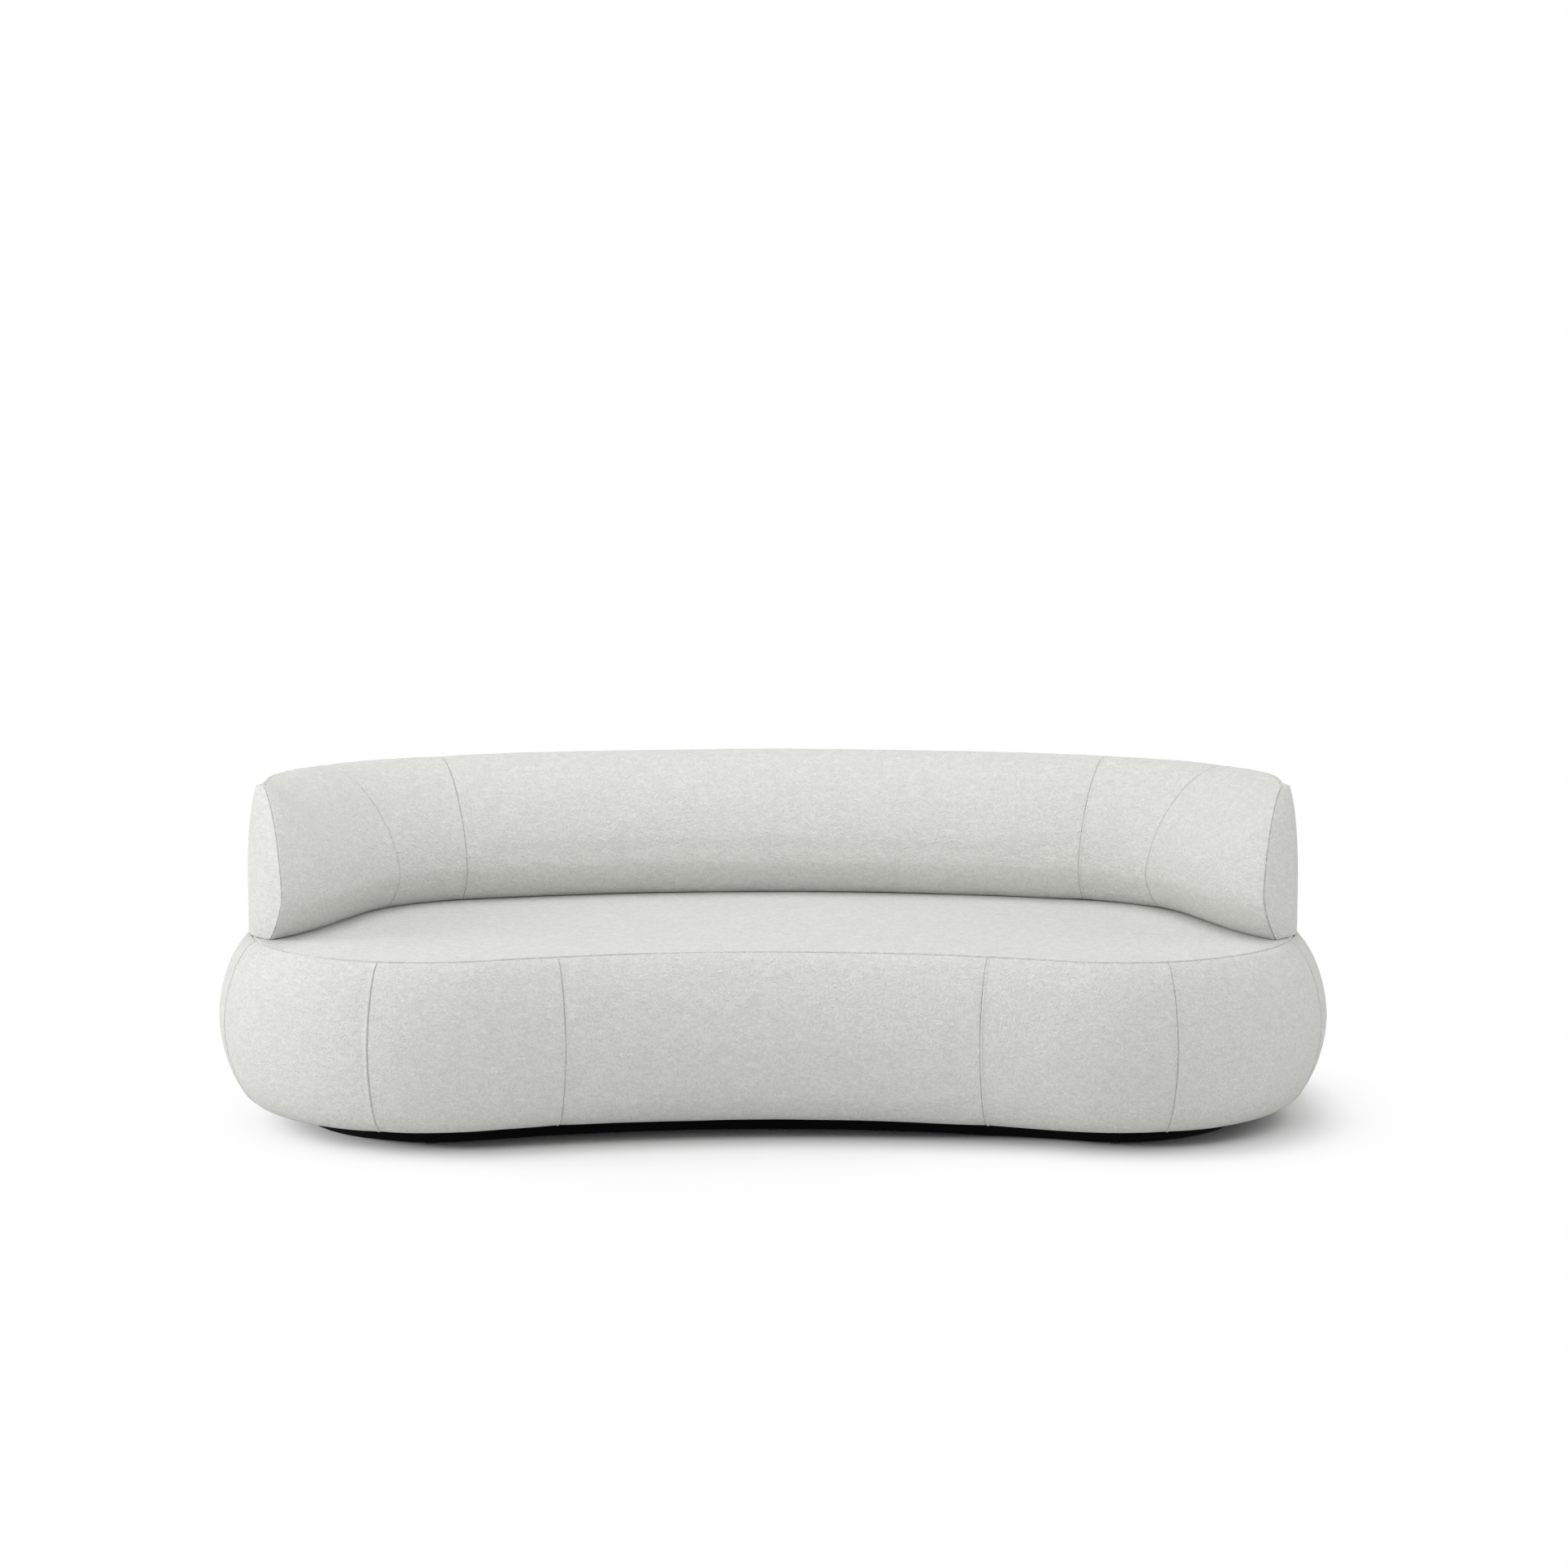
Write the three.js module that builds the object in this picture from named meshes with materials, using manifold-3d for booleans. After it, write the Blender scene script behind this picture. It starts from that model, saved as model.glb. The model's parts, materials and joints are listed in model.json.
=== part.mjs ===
import * as THREE from 'three';
import { mergeVertices } from 'three/addons/utils/BufferGeometryUtils.js';
import Module from 'manifold-3d';

// A curved sofa: a kidney-shaped base on a recessed plinth, with a C-shaped bolster for a back.
// Millimetres, +Z up, seat facing -Y. Left and right are those of a viewer in front: left is -X.

// Plan of the base: a hollow front, round ends, straight sides, rear corners and a bowed rear
const overallWidth = 2400;
const hollowRadius = 1642;
const endRadius = 477;
const sideRun = 171;
const cornerRadius = 477;
const rearRadius = 2450;

// Upright section of the base
const fabricBottom = 49;
const seatHeight = 411;
const edgeDepth = 78;

// Roundness of every padded edge: 1 is an ellipse, above 1 is leaner at the shoulders
const roundShare = 1.19;

// Seams of the base cover, as shares of the way along the plan from the front centre to the rear centre
const innerSeamShare = 0.13756;
const lobeSeamShare = 0.27003;
const sideSeamShare = 0.42061;
const rearSeamShare = 0.62742;
const topSeamAngle = THREE.MathUtils.degToRad(86);

// Section of the back, with heights above the seat and reaches from where it meets the seat
const backRise = 309;
const backBellyRise = 79;
const backTopReach = 187;
const backBelly = 43;
const backThickness = 233;
const wallTuck = 14;
const topEdgeRadius = 16;

// Plan of the back
const wallInset = 62;
const armCornerRadius = 340;
const armCornerInset = 600;
const armHeading = THREE.MathUtils.degToRad(70);
const armRun = 96;
const tipInset = 148;
const tipForward = 146;
const tipHeading = THREE.MathUtils.degToRad(16.6);
const tipReach = 215;
const tipFlare = 20;
const wholeTipShare = 1;
const tipFlareShare = 1 / 3;
const tipSideShare = 0.56;
const tipFrontShare = 0.17;
const wallArrival = THREE.MathUtils.degToRad(46.2);
const innerCurveShare = 0.6;
const wallCurveShare = 1.35;

// Seams of the back cover, along its foot: how far the shoulder panel starts before the corner, and its run
const backShoulderLead = 10;
const backShoulderRun = 197;

// Cover and padding
const coverThickness = 5;
const layerGap = 0.5;
const seamGap = 0.6;
const topEdgeGap = 1.5;
const tipSeamGap = 2;
const seamRise = 4;
const seamReach = 7;
const seamEaseShare = 1.4;
const tuckReach = 32;
const seatFoamThickness = 85;
const backFoamInside = 60;
const backFoamOutside = 25;

// Frame, plinth and fixings
const pieceGap = 0.3;
const boardThickness = 18;
const frameInset = 90;
const railWidth = 60;
const ribEndClearance = 5;
const ribCount = 5;
const webbingThickness = 2.5;
const webbingWidth = 60;
const webbingCount = 7;
const webbingEndInset = 6;
const plinthInset = 190;
const plinthThickness = 24;
const glideHeight = 4;
const glideRadius = 11;
const backFrameClearance = 6;
const backFrameEndClearance = 10;
const backRailDrop = 84;
const backRibOuterShare = 0.964;
const backRibInnerShare = 0.335;
const boltRadius = 4;
const boltHeadRadius = 9;
const boltHeadHeight = 5;
const boltClearance = 0.4;
const boltStandOut = 2;
const boltOuterShare = 0.271;
const boltInnerShare = 0.146;
const boltReach = 170;

// Fineness of the facets
const facetHeight = 2;
const tipSteps = 5;
const profileSteps = 9;
const roundSides = 8;
const weldGap = 0.001;

// Colours and finishes
const fabric = { color: 0xdddcd8, roughness: 0.95, metalness: 0 };
const foam = { color: 0xe9dfae, roughness: 1, metalness: 0 };
const plywood = { color: 0xc9a877, roughness: 0.75, metalness: 0 };
const blackPaint = { color: 0x0c0c0d, roughness: 0.6, metalness: 0 };
const blackPlastic = { color: 0x1a1a1a, roughness: 0.5, metalness: 0 };
const webbing = { color: 0x3a3733, roughness: 0.9, metalness: 0 };
const zincSteel = { color: 0xb9bcc0, roughness: 0.35, metalness: 1 };

// Heights worked out from the sizes above
const boardBottom = fabricBottom + coverThickness + pieceGap;
const boardTop = boardBottom + boardThickness;
const plinthTop = boardBottom - pieceGap;
const plinthBottom = glideHeight + pieceGap;
const seatFoamTop = seatHeight - coverThickness - layerGap;
const seatFoamBottom = seatFoamTop - seatFoamThickness;
const edgeFoamTop = seatFoamBottom - pieceGap;
const webbingBottom = edgeFoamTop - webbingThickness;
const railTop = webbingBottom - pieceGap;
const railBottom = railTop - boardThickness;
const backBottom = seatHeight + pieceGap;
const backTop = seatHeight + backRise;
const bellyHeight = seatHeight + backBellyRise;
const backBoardTop = backBottom + boardThickness;
const backRailTop = backTop - backRailDrop;
const backRailBottom = backRailTop - boardThickness;

const group = new THREE.Group();
const wasm = await Module();
wasm.setup();

// Solids

function closedGeometry(points, triangles) {
  const geometry = new THREE.BufferGeometry();
  const flat = points.flatMap((point) => [point.x, point.y, point.z]);
  geometry.setAttribute('position', new THREE.Float32BufferAttribute(flat, 3));
  geometry.setIndex(triangles.flat());
  const merged = mergeVertices(geometry, weldGap);
  const index = merged.index.array;
  const place = (k) => new THREE.Vector3().fromBufferAttribute(merged.attributes.position, k);
  const kept = [];
  let volume = 0;
  for (let k = 0; k < index.length; k += 3) {
    const [a, b, c] = [index[k], index[k + 1], index[k + 2]];
    if (a !== b && b !== c && c !== a) {
      kept.push([a, b, c]);
      volume += place(a).dot(place(b).cross(place(c)));
    }
  }
  merged.setIndex(kept.map(([a, b, c]) => (volume < 0 ? [a, c, b] : [a, b, c])).flat());
  return merged;
}

function flatPlan(ring) {
  return ring.map((point) => new THREE.Vector2(point.x, point.y));
}

function flatUpright(ring) {
  const start = ring[0];
  const away = (point) => Math.hypot(point.x - start.x, point.y - start.y);
  const far = ring.reduce((best, point) => (away(point) > away(best) ? point : best));
  const along = new THREE.Vector2(far.x - start.x, far.y - start.y).normalize();
  const reach = (point) => (point.x - start.x) * along.x + (point.y - start.y) * along.y;
  return ring.map((point) => new THREE.Vector2(reach(point), point.z));
}

// Flat faces that fill a ring, each turning the way that the ring does
function ringFaces(ring, flatten) {
  const outline = flatten(ring);
  const way = Math.sign(THREE.ShapeUtils.area(outline));
  return THREE.ShapeUtils.triangulateShape(outline, []).map(([a, b, c]) => {
    const turn = THREE.ShapeUtils.area([outline[a], outline[b], outline[c]]);
    return turn * way > 0 ? [a, b, c] : [a, c, b];
  });
}

// Grows from the middle of the back round to its tips
function roundness(point) {
  return Math.abs(point.x) - point.y;
}

// Joins closed rings of points one after the other, and closes both ends with flat faces.
// Layers that lie in each other split their facets alike, by place.
function ringSolid(rings, flatten) {
  const size = rings[0].length;
  const triangles = [];
  for (let r = 0; r + 1 < rings.length; r += 1) {
    for (let k = 0; k < size; k += 1) {
      const next = (k + 1) % size;
      const [a, b] = [r * size + k, r * size + next];
      const outwards = roundness(rings[r][k]) < roundness(rings[r + 1][k]);
      const upwards = rings[r][k].z < rings[r][next].z;
      if (outwards === upwards) triangles.push([a, b, b + size], [a, b + size, a + size]);
      else triangles.push([a, b, a + size], [b, b + size, a + size]);
    }
  }
  const last = (rings.length - 1) * size;
  ringFaces(rings[0], flatten).forEach(([a, b, c]) => triangles.push([a, c, b]));
  ringFaces(rings[rings.length - 1], flatten).forEach((face) => {
    triangles.push(face.map((k) => k + last));
  });
  return closedGeometry(rings.flat(), triangles);
}

function between(one, other, share) {
  return one.map((point, k) => point.clone().lerp(other[k], share));
}

// A sewn panel: its outer side rises at the ends that are seams, and its inner side keeps to the padding
function panelSolid(places, isSeam, outside, inside) {
  const last = places.length - 1;
  const rings = places.map((place, k) => {
    const rise = (k === 0 || k === last) && isSeam(place) ? seamRise : 0;
    return [...outside(place, rise), ...inside(place).reverse()];
  });
  const eased = (end, next) => {
    const share = seamReach / Math.abs(places[next] - places[end]);
    const reach = places[end] + (places[next] - places[end]) * share;
    const onPadding = between(inside(places[end]), inside(places[next]), share);
    return [...outside(reach, 0), ...onPadding.reverse()];
  };
  if (isSeam(places[last])) rings.splice(last, 0, eased(last, last - 1));
  if (isSeam(places[0])) rings.splice(1, 0, eased(0, 1));
  return ringSolid(rings, flatUpright);
}

function toSolid(geometry) {
  const bare = geometry.clone();
  bare.deleteAttribute('normal');
  bare.deleteAttribute('uv');
  const merged = mergeVertices(bare, weldGap);
  const vertProperties = new Float32Array(merged.attributes.position.array);
  const triVerts = new Uint32Array(merged.index.array);
  return new wasm.Manifold(new wasm.Mesh({ numProp: 3, vertProperties, triVerts }));
}

function fromSolid(solid) {
  const mesh = solid.getMesh();
  const geometry = new THREE.BufferGeometry();
  const places = new Float32Array(mesh.vertProperties);
  geometry.setAttribute('position', new THREE.BufferAttribute(places, 3));
  geometry.setIndex(new THREE.BufferAttribute(new Uint32Array(mesh.triVerts), 1));
  return geometry;
}

function cylinder(radius, bottom, top, x, y) {
  const geometry = new THREE.CylinderGeometry(radius, radius, top - bottom, roundSides);
  geometry.rotateX(Math.PI / 2);
  geometry.translate(x, y, (top + bottom) / 2);
  return geometry;
}

function box(width, depth, bottom, top, x, y) {
  const geometry = new THREE.BoxGeometry(width, depth, top - bottom);
  geometry.translate(x, y, (top + bottom) / 2);
  return geometry;
}

function addPiece(name, geometry, finish) {
  geometry.computeVertexNormals();
  const mesh = new THREE.Mesh(geometry, new THREE.MeshStandardMaterial(finish));
  mesh.name = name;
  group.add(mesh);
}

// Plan of the base

const endCentreX = overallWidth / 2 - endRadius;
const hollowCentreY = -Math.sqrt((hollowRadius + endRadius) ** 2 - endCentreX ** 2);
const hollowAngle = Math.atan2(-hollowCentreY, endCentreX);
const cornerCentreX = overallWidth / 2 - cornerRadius;
const rearCentreY = sideRun - Math.sqrt((rearRadius - cornerRadius) ** 2 - cornerCentreX ** 2);
const cornerAngle = Math.atan2(sideRun - rearCentreY, cornerCentreX);

function arcPiece(x, y, radius, start, end, inward) {
  const length = Math.abs(end - start) * radius;
  const steps = Math.ceil(length / Math.sqrt(8 * radius * facetHeight));
  const at = (run) => {
    const angle = start + (end - start) * run / length;
    const [c, s] = [Math.cos(angle), Math.sin(angle)];
    return { x: x + radius * c, y: y + radius * s, nx: inward * c, ny: inward * s };
  };
  return { length, steps, at };
}

function sidePiece() {
  const at = (run) => ({ x: overallWidth / 2, y: run, nx: -1, ny: 0 });
  return { length: sideRun, steps: 1, at };
}

const planPieces = [
  arcPiece(0, hollowCentreY, hollowRadius, Math.PI / 2, hollowAngle, 1),
  arcPiece(endCentreX, 0, endRadius, hollowAngle - Math.PI, -Math.PI / 2, -1),
  arcPiece(endCentreX, 0, endRadius, -Math.PI / 2, 0, -1),
  sidePiece(),
  arcPiece(cornerCentreX, sideRun, cornerRadius, 0, cornerAngle, -1),
  arcPiece(0, rearCentreY, rearRadius, cornerAngle, Math.PI / 2, -1),
];
const halfRun = planPieces.reduce((sum, piece) => sum + piece.length, 0);

// A point of the plan and its inward direction, at a run from the front centre, negative to the left
function planAt(run) {
  const wrapped = run > halfRun ? run - 2 * halfRun : run;
  let rest = Math.abs(wrapped);
  let piece = planPieces[0];
  for (piece of planPieces) {
    if (rest <= piece.length + weldGap) break;
    rest -= piece.length;
  }
  const point = piece.at(Math.min(rest, piece.length));
  return wrapped < 0 ? { ...point, x: -point.x, nx: -point.nx } : point;
}

const innerSeam = innerSeamShare * halfRun;
const lobeSeam = lobeSeamShare * halfRun;
const sideSeam = sideSeamShare * halfRun;
const rearSeam = rearSeamShare * halfRun;
const lobeFrontRun = planPieces[0].length + planPieces[1].length;
const sideStartRun = lobeFrontRun + planPieces[2].length;
const sideMiddleRun = sideStartRun + sideRun / 2;

function baseRuns() {
  const runs = [innerSeam, lobeSeam, sideSeam, rearSeam, sideMiddleRun];
  let start = 0;
  for (const piece of planPieces) {
    for (let k = 0; k <= piece.steps; k += 1) {
      runs.push(start + piece.length * k / piece.steps);
    }
    start += piece.length;
  }
  runs.sort((a, b) => a - b);
  const seams = [innerSeam, lobeSeam, sideSeam, rearSeam];
  const crowded = (run) => seams.some((seam) => run !== seam && Math.abs(run - seam) < 2 * seamReach);
  return runs.filter((run, k) => !crowded(run) && (k === 0 || run - runs[k - 1] > weldGap));
}
const allRuns = baseRuns();

function runsBetween(from, to) {
  const around = allRuns.flatMap((run) => [run, -run, 2 * halfRun - run]);
  const inside = around.filter((run) => run > from + seamReach && run < to - seamReach);
  inside.sort((a, b) => a - b);
  return inside.filter((run, k) => k === 0 || run - inside[k - 1] > weldGap);
}

function loopRuns() {
  const inside = runsBetween(-halfRun, halfRun);
  return [-halfRun, ...inside];
}

function onPlan(run, { inset, z }) {
  const p = planAt(run);
  return new THREE.Vector3(p.x + p.nx * inset, p.y + p.ny * inset, z);
}

// Sweeps one section, in insets and heights, between two runs of the plan
function planSweep(from, to, section) {
  const runs = [from, ...runsBetween(from, to), to];
  return ringSolid(runs.map((run) => section.map((point) => onPlan(run, point))), flatUpright);
}

// Stacks closed outlines of the plan, each an inset and a height
function planStack(levels) {
  const runs = loopRuns();
  return ringSolid(levels.map((level) => runs.map((run) => onPlan(run, level))), flatPlan);
}

// Padded edge of the base

const edgeHalf = (seatHeight - fabricBottom) / 2;
const edgeMiddle = fabricBottom + edgeHalf;

function rounded(value) {
  return Math.sign(value) * Math.abs(value) ** roundShare;
}

function edgeAt(angle, depth) {
  const inset = depth + edgeDepth * (1 - rounded(Math.cos(angle)));
  return { inset, z: edgeMiddle + (edgeHalf - depth) * rounded(Math.sin(angle)) };
}

function edgeAngleAt(height, depth) {
  return Math.asin(((height - edgeMiddle) / (edgeHalf - depth)) ** (1 / roundShare));
}

const foamDepth = coverThickness + layerGap;
const foamSplitAngle = edgeAngleAt(edgeFoamTop, foamDepth);
const quarter = Math.PI / 2;
const lowerShares = [-1, -0.74, -0.49, -0.25, 0, 0.22];
const lowerAngles = lowerShares.map((share) => share * quarter);
const shoulderAngle = (foamSplitAngle + topSeamAngle) / 2;
const seamAngleGap = seamGap / edgeDepth;
const seamAngleReach = seamEaseShare * seamReach / edgeDepth;
const brimAngle = topSeamAngle - seamAngleReach;

// One panel of the side cover, with raised edges where it is sewn to its neighbours
function sidePanel(name, from, to) {
  const angles = [...lowerAngles, foamSplitAngle, shoulderAngle, brimAngle];
  const topAngle = topSeamAngle - seamAngleGap;
  const hem = edgeDepth + tuckReach;
  const outside = (run, rise) => [
    { inset: hem, z: fabricBottom },
    ...angles.map((angle) => edgeAt(angle, -rise)),
    edgeAt(topAngle, 0),
  ].map((point) => onPlan(run, point));
  const inside = (run) => [
    { inset: hem, z: fabricBottom + coverThickness },
    ...angles.map((angle) => edgeAt(angle, coverThickness)),
    edgeAt(topAngle, coverThickness),
  ].map((point) => onPlan(run, point));
  const within = runsBetween(from + seamReach, to - seamReach);
  const runs = [from + seamGap / 2, ...within, to - seamGap / 2];
  addPiece(name, panelSolid(runs, () => true, outside, inside), fabric);
}

function addSideCover() {
  sidePanel('base_cover_front', -innerSeam, innerSeam);
  for (const [side, sign] of [['left', -1], ['right', 1]]) {
    const panel = (name, near, far) => {
      const ends = [sign * near, sign * far];
      sidePanel(`${name}_${side}`, Math.min(...ends), Math.max(...ends));
    };
    panel('base_cover_inner', innerSeam, lobeSeam);
    panel('base_cover_lobe', lobeSeam, sideSeam);
    panel('base_cover_end', sideSeam, rearSeam);
    panel('base_cover_rear', rearSeam, halfRun);
  }
}

// Holes for the bolts that hold the back down

function boltPlaces() {
  return [-boltOuterShare, -boltInnerShare, boltInnerShare, boltOuterShare].map((share) => {
    const angle = Math.asin(share * overallWidth / (footRadius + boltReach));
    const foot = footAt(angle * footRadius);
    return { x: foot.x + foot.nx * boltReach, y: foot.y + foot.ny * boltReach };
  });
}

function drilled(geometry, bottom, top) {
  let solid = toSolid(geometry);
  for (const { x, y } of boltPlaces()) {
    const radius = boltRadius + boltClearance;
    solid = solid.subtract(toSolid(cylinder(radius, bottom - seamRise, top + seamRise, x, y)));
  }
  return fromSolid(solid);
}

function addSeatCover() {
  const start = topSeamAngle + seamAngleGap;
  const flatInset = edgeDepth + seamEaseShare * seamReach;
  const levels = [
    { inset: flatInset, z: seatHeight - coverThickness },
    edgeAt(quarter, coverThickness),
    edgeAt(start, coverThickness),
    edgeAt(start, 0),
    { inset: flatInset, z: seatHeight },
  ];
  addPiece('seat_cover', drilled(planStack(levels), seatFoamTop, seatHeight), fabric);
}

function addBaseFoam() {
  const angles = [...lowerAngles, foamSplitAngle];
  const wall = frameInset - pieceGap;
  const section = [
    ...angles.map((angle) => edgeAt(angle, foamDepth)),
    { inset: wall, z: edgeFoamTop },
    { inset: wall, z: edgeAt(-quarter, foamDepth).z },
  ];
  const length = (name, from, to) => {
    addPiece(name, planSweep(from + seamGap / 2, to - seamGap / 2, section), foam);
  };
  length('base_edge_foam_front', -lobeSeam, lobeSeam);
  length('base_edge_foam_right', lobeSeam, rearSeam);
  length('base_edge_foam_left', -rearSeam, -lobeSeam);
  length('base_edge_foam_rear', rearSeam, 2 * halfRun - rearSeam);
}

function addSeatFoam() {
  const angles = [shoulderAngle, brimAngle, topSeamAngle, quarter];
  const levels = [
    { inset: edgeAt(foamSplitAngle, foamDepth).inset, z: seatFoamBottom },
    ...angles.map((angle) => edgeAt(angle, foamDepth)),
  ];
  addPiece('seat_foam', drilled(planStack(levels), seatFoamBottom, seatFoamTop), foam);
}

// Where lines across the base meet the plan, at an inset
function frontEdge(x, inset) {
  const reach = Math.abs(x);
  if (reach < (hollowRadius + inset) * Math.cos(hollowAngle)) {
    return hollowCentreY + Math.sqrt((hollowRadius + inset) ** 2 - reach ** 2);
  }
  return -Math.sqrt((endRadius - inset) ** 2 - (reach - endCentreX) ** 2);
}

function rearEdge(x, inset) {
  const reach = Math.abs(x);
  if (reach < (rearRadius - inset) * Math.cos(cornerAngle)) {
    return rearCentreY + Math.sqrt((rearRadius - inset) ** 2 - reach ** 2);
  }
  return sideRun + Math.sqrt((cornerRadius - inset) ** 2 - (reach - cornerCentreX) ** 2);
}

// A flat bar from front to rear that stays inside the plan along its whole width
function crossBar(x, width, inset, bottom, top) {
  const sides = [x - width / 2, x + width / 2];
  const front = Math.max(...sides.map((side) => frontEdge(side, inset)));
  const rear = Math.min(...sides.map((side) => rearEdge(side, inset)));
  return box(width, rear - front, bottom, top, x, (front + rear) / 2);
}

function addBaseFrame() {
  const board = [{ inset: frameInset, z: boardBottom }, { inset: frameInset, z: boardTop }];
  addPiece('base_board', planStack(board), plywood);
  for (let k = 0; k < ribCount; k += 1) {
    const x = (k - (ribCount - 1) / 2) * overallWidth / (ribCount + 1);
    const inset = frameInset + ribEndClearance;
    const bar = crossBar(x, boardThickness, inset, boardTop + pieceGap, railBottom - pieceGap);
    addPiece(`base_rib_${k + 1}`, bar, plywood);
  }
  const section = [
    { inset: frameInset, z: railBottom },
    { inset: frameInset, z: railTop },
    { inset: frameInset + railWidth, z: railTop },
    { inset: frameInset + railWidth, z: railBottom },
  ];
  const frontEnd = sideMiddleRun - pieceGap / 2;
  addPiece('seat_rail_front', planSweep(-frontEnd, frontEnd, section), plywood);
  const rearStart = sideMiddleRun + pieceGap / 2;
  const rear = planSweep(rearStart, 2 * halfRun - rearStart, section);
  addPiece('seat_rail_rear', drilled(rear, railBottom, railTop), plywood);
}

function addWebbing() {
  for (let k = 0; k < webbingCount; k += 1) {
    const x = (k - (webbingCount - 1) / 2) * overallWidth / (webbingCount + 1);
    const inset = frameInset + webbingEndInset;
    const strap = crossBar(x, webbingWidth, inset, webbingBottom, edgeFoamTop);
    addPiece(`seat_webbing_${k + 1}`, strap, webbing);
  }
}

function addPlinth() {
  const section = [
    { inset: plinthInset, z: plinthBottom },
    { inset: plinthInset, z: plinthTop },
    { inset: plinthInset + plinthThickness, z: plinthTop },
    { inset: plinthInset + plinthThickness, z: plinthBottom },
  ];
  const frontEnd = sideMiddleRun - pieceGap / 2;
  const rearStart = sideMiddleRun + pieceGap / 2;
  addPiece('plinth_front', planSweep(-frontEnd, frontEnd, section), blackPaint);
  addPiece('plinth_rear', planSweep(rearStart, 2 * halfRun - rearStart, section), blackPaint);
  const glides = [
    ['front_centre', 0],
    ['front_left', -lobeFrontRun],
    ['front_right', lobeFrontRun],
    ['rear_left', -rearSeam],
    ['rear_right', rearSeam],
    ['rear_centre', halfRun],
  ];
  for (const [name, run] of glides) {
    const { x, y } = onPlan(run, { inset: plinthInset + plinthThickness / 2, z: 0 });
    addPiece(`glide_${name}`, cylinder(glideRadius, 0, glideHeight, x, y), blackPlastic);
  }
}

// Plan of the back: the line where it meets the seat, from the centre to the start of each tip

const footRadius = rearRadius - wallInset - backThickness;
const armCentreX = overallWidth / 2 - armCornerInset;
const armCornerStart = Math.asin(armCentreX / (footRadius - armCornerRadius));
const armCentreY = rearCentreY + (footRadius - armCornerRadius) * Math.cos(armCornerStart);
const armCornerRun = footRadius * armCornerStart;
const armRunStart = armCornerRun + armCornerRadius * (armHeading - armCornerStart);
const tipStart = armRunStart + armRun;
const backSeamB = armCornerRun - backShoulderLead;
const backSeamA = backSeamB + backShoulderRun;

// The foot of the back and its outward direction, at a run from the centre, negative to the left
function footAt(run) {
  const reach = Math.abs(run);
  let centre = { x: 0, y: rearCentreY, radius: footRadius };
  let angle = reach / footRadius;
  let ahead = 0;
  if (reach > armCornerRun) {
    centre = { x: armCentreX, y: armCentreY, radius: armCornerRadius };
    angle = Math.min(armCornerStart + (reach - armCornerRun) / armCornerRadius, armHeading);
    ahead = Math.max(reach - armRunStart, 0);
  }
  const [nx, ny] = [Math.sin(angle), Math.cos(angle)];
  const x = centre.x + centre.radius * nx + ahead * ny;
  const y = centre.y + centre.radius * ny - ahead * nx;
  return run < 0 ? { x: -x, y, nx: -nx, ny } : { x, y, nx, ny };
}

function rayToCircle(foot, x, y, radius) {
  const [dx, dy] = [Math.abs(foot.x) - x, foot.y - y];
  const half = dx * Math.abs(foot.nx) + dy * foot.ny;
  return Math.sqrt(half ** 2 - dx ** 2 - dy ** 2 + radius ** 2) - half;
}

// How far the outer wall stands from the foot, along the outward direction
function wallReach(foot) {
  const side = (overallWidth / 2 - wallInset - Math.abs(foot.x)) / Math.abs(foot.nx);
  if (foot.nx !== 0 && foot.y + foot.ny * side < sideRun) return side;
  const corner = rayToCircle(foot, cornerCentreX, sideRun, cornerRadius - wallInset);
  const hitX = Math.abs(foot.x) + Math.abs(foot.nx) * corner - cornerCentreX;
  const hitY = foot.y + foot.ny * corner - sideRun;
  if (hitX > 0 && Math.atan2(hitY, hitX) < cornerAngle) return corner;
  return rayToCircle(foot, 0, rearCentreY, rearRadius - wallInset);
}

// Section of the back

const bellyReach = backTopReach + backBelly;
const crownHalf = backTop - bellyHeight;
const seatLineAngle = Math.acos((backTopReach / bellyReach) ** (1 / roundShare));
const bellyDrop = backBellyRise / rounded(Math.sin(seatLineAngle));

function facePoint(angle, depth) {
  const height = angle > 0 ? crownHalf : bellyDrop;
  return {
    reach: backTopReach - (bellyReach - depth) * rounded(Math.cos(angle)),
    z: bellyHeight + (height - depth) * rounded(Math.sin(angle)),
  };
}

function footAngle(depth) {
  return -Math.asin(((bellyHeight - backBottom) / (bellyDrop - depth)) ** (1 / roundShare));
}

// The angle at which the face comes to a reach, past the crown where the reach is longer
function faceAngleAt(reach, depth) {
  const share = (backTopReach - reach) / (bellyReach - depth);
  return Math.acos(Math.sign(share) * Math.abs(share) ** (1 / roundShare));
}

function facePoints(edgeReach, depth) {
  const low = footAngle(depth);
  const high = faceAngleAt(edgeReach, depth);
  const points = [];
  for (let k = 0; k <= profileSteps; k += 1) {
    points.push(facePoint(low + (high - low) * k / profileSteps, depth));
  }
  return points;
}

// The outer wall from the top edge down: a small round, then a wall that tucks in at top and foot
function wallPoints(edge, wall) {
  const points = [edge];
  const top = edge.z - topEdgeRadius;
  const middle = (top + backBottom) / 2;
  for (let k = 1; k <= profileSteps; k += 1) {
    const share = (k - 1) / (profileSteps - 1);
    const z = k === 1 ? top + topEdgeRadius / 2 : top + (backBottom - top) * share;
    const tuck = wallTuck * ((z - middle) / (top - middle)) ** 2;
    const shoulder = k === 1 ? topEdgeRadius / 4 : 0;
    points.push({ reach: wall - tuck - shoulder, z });
  }
  return points;
}

function spread(foot, { reach, z }) {
  return new THREE.Vector3(foot.x + foot.nx * reach, foot.y + foot.ny * reach, z);
}

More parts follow.
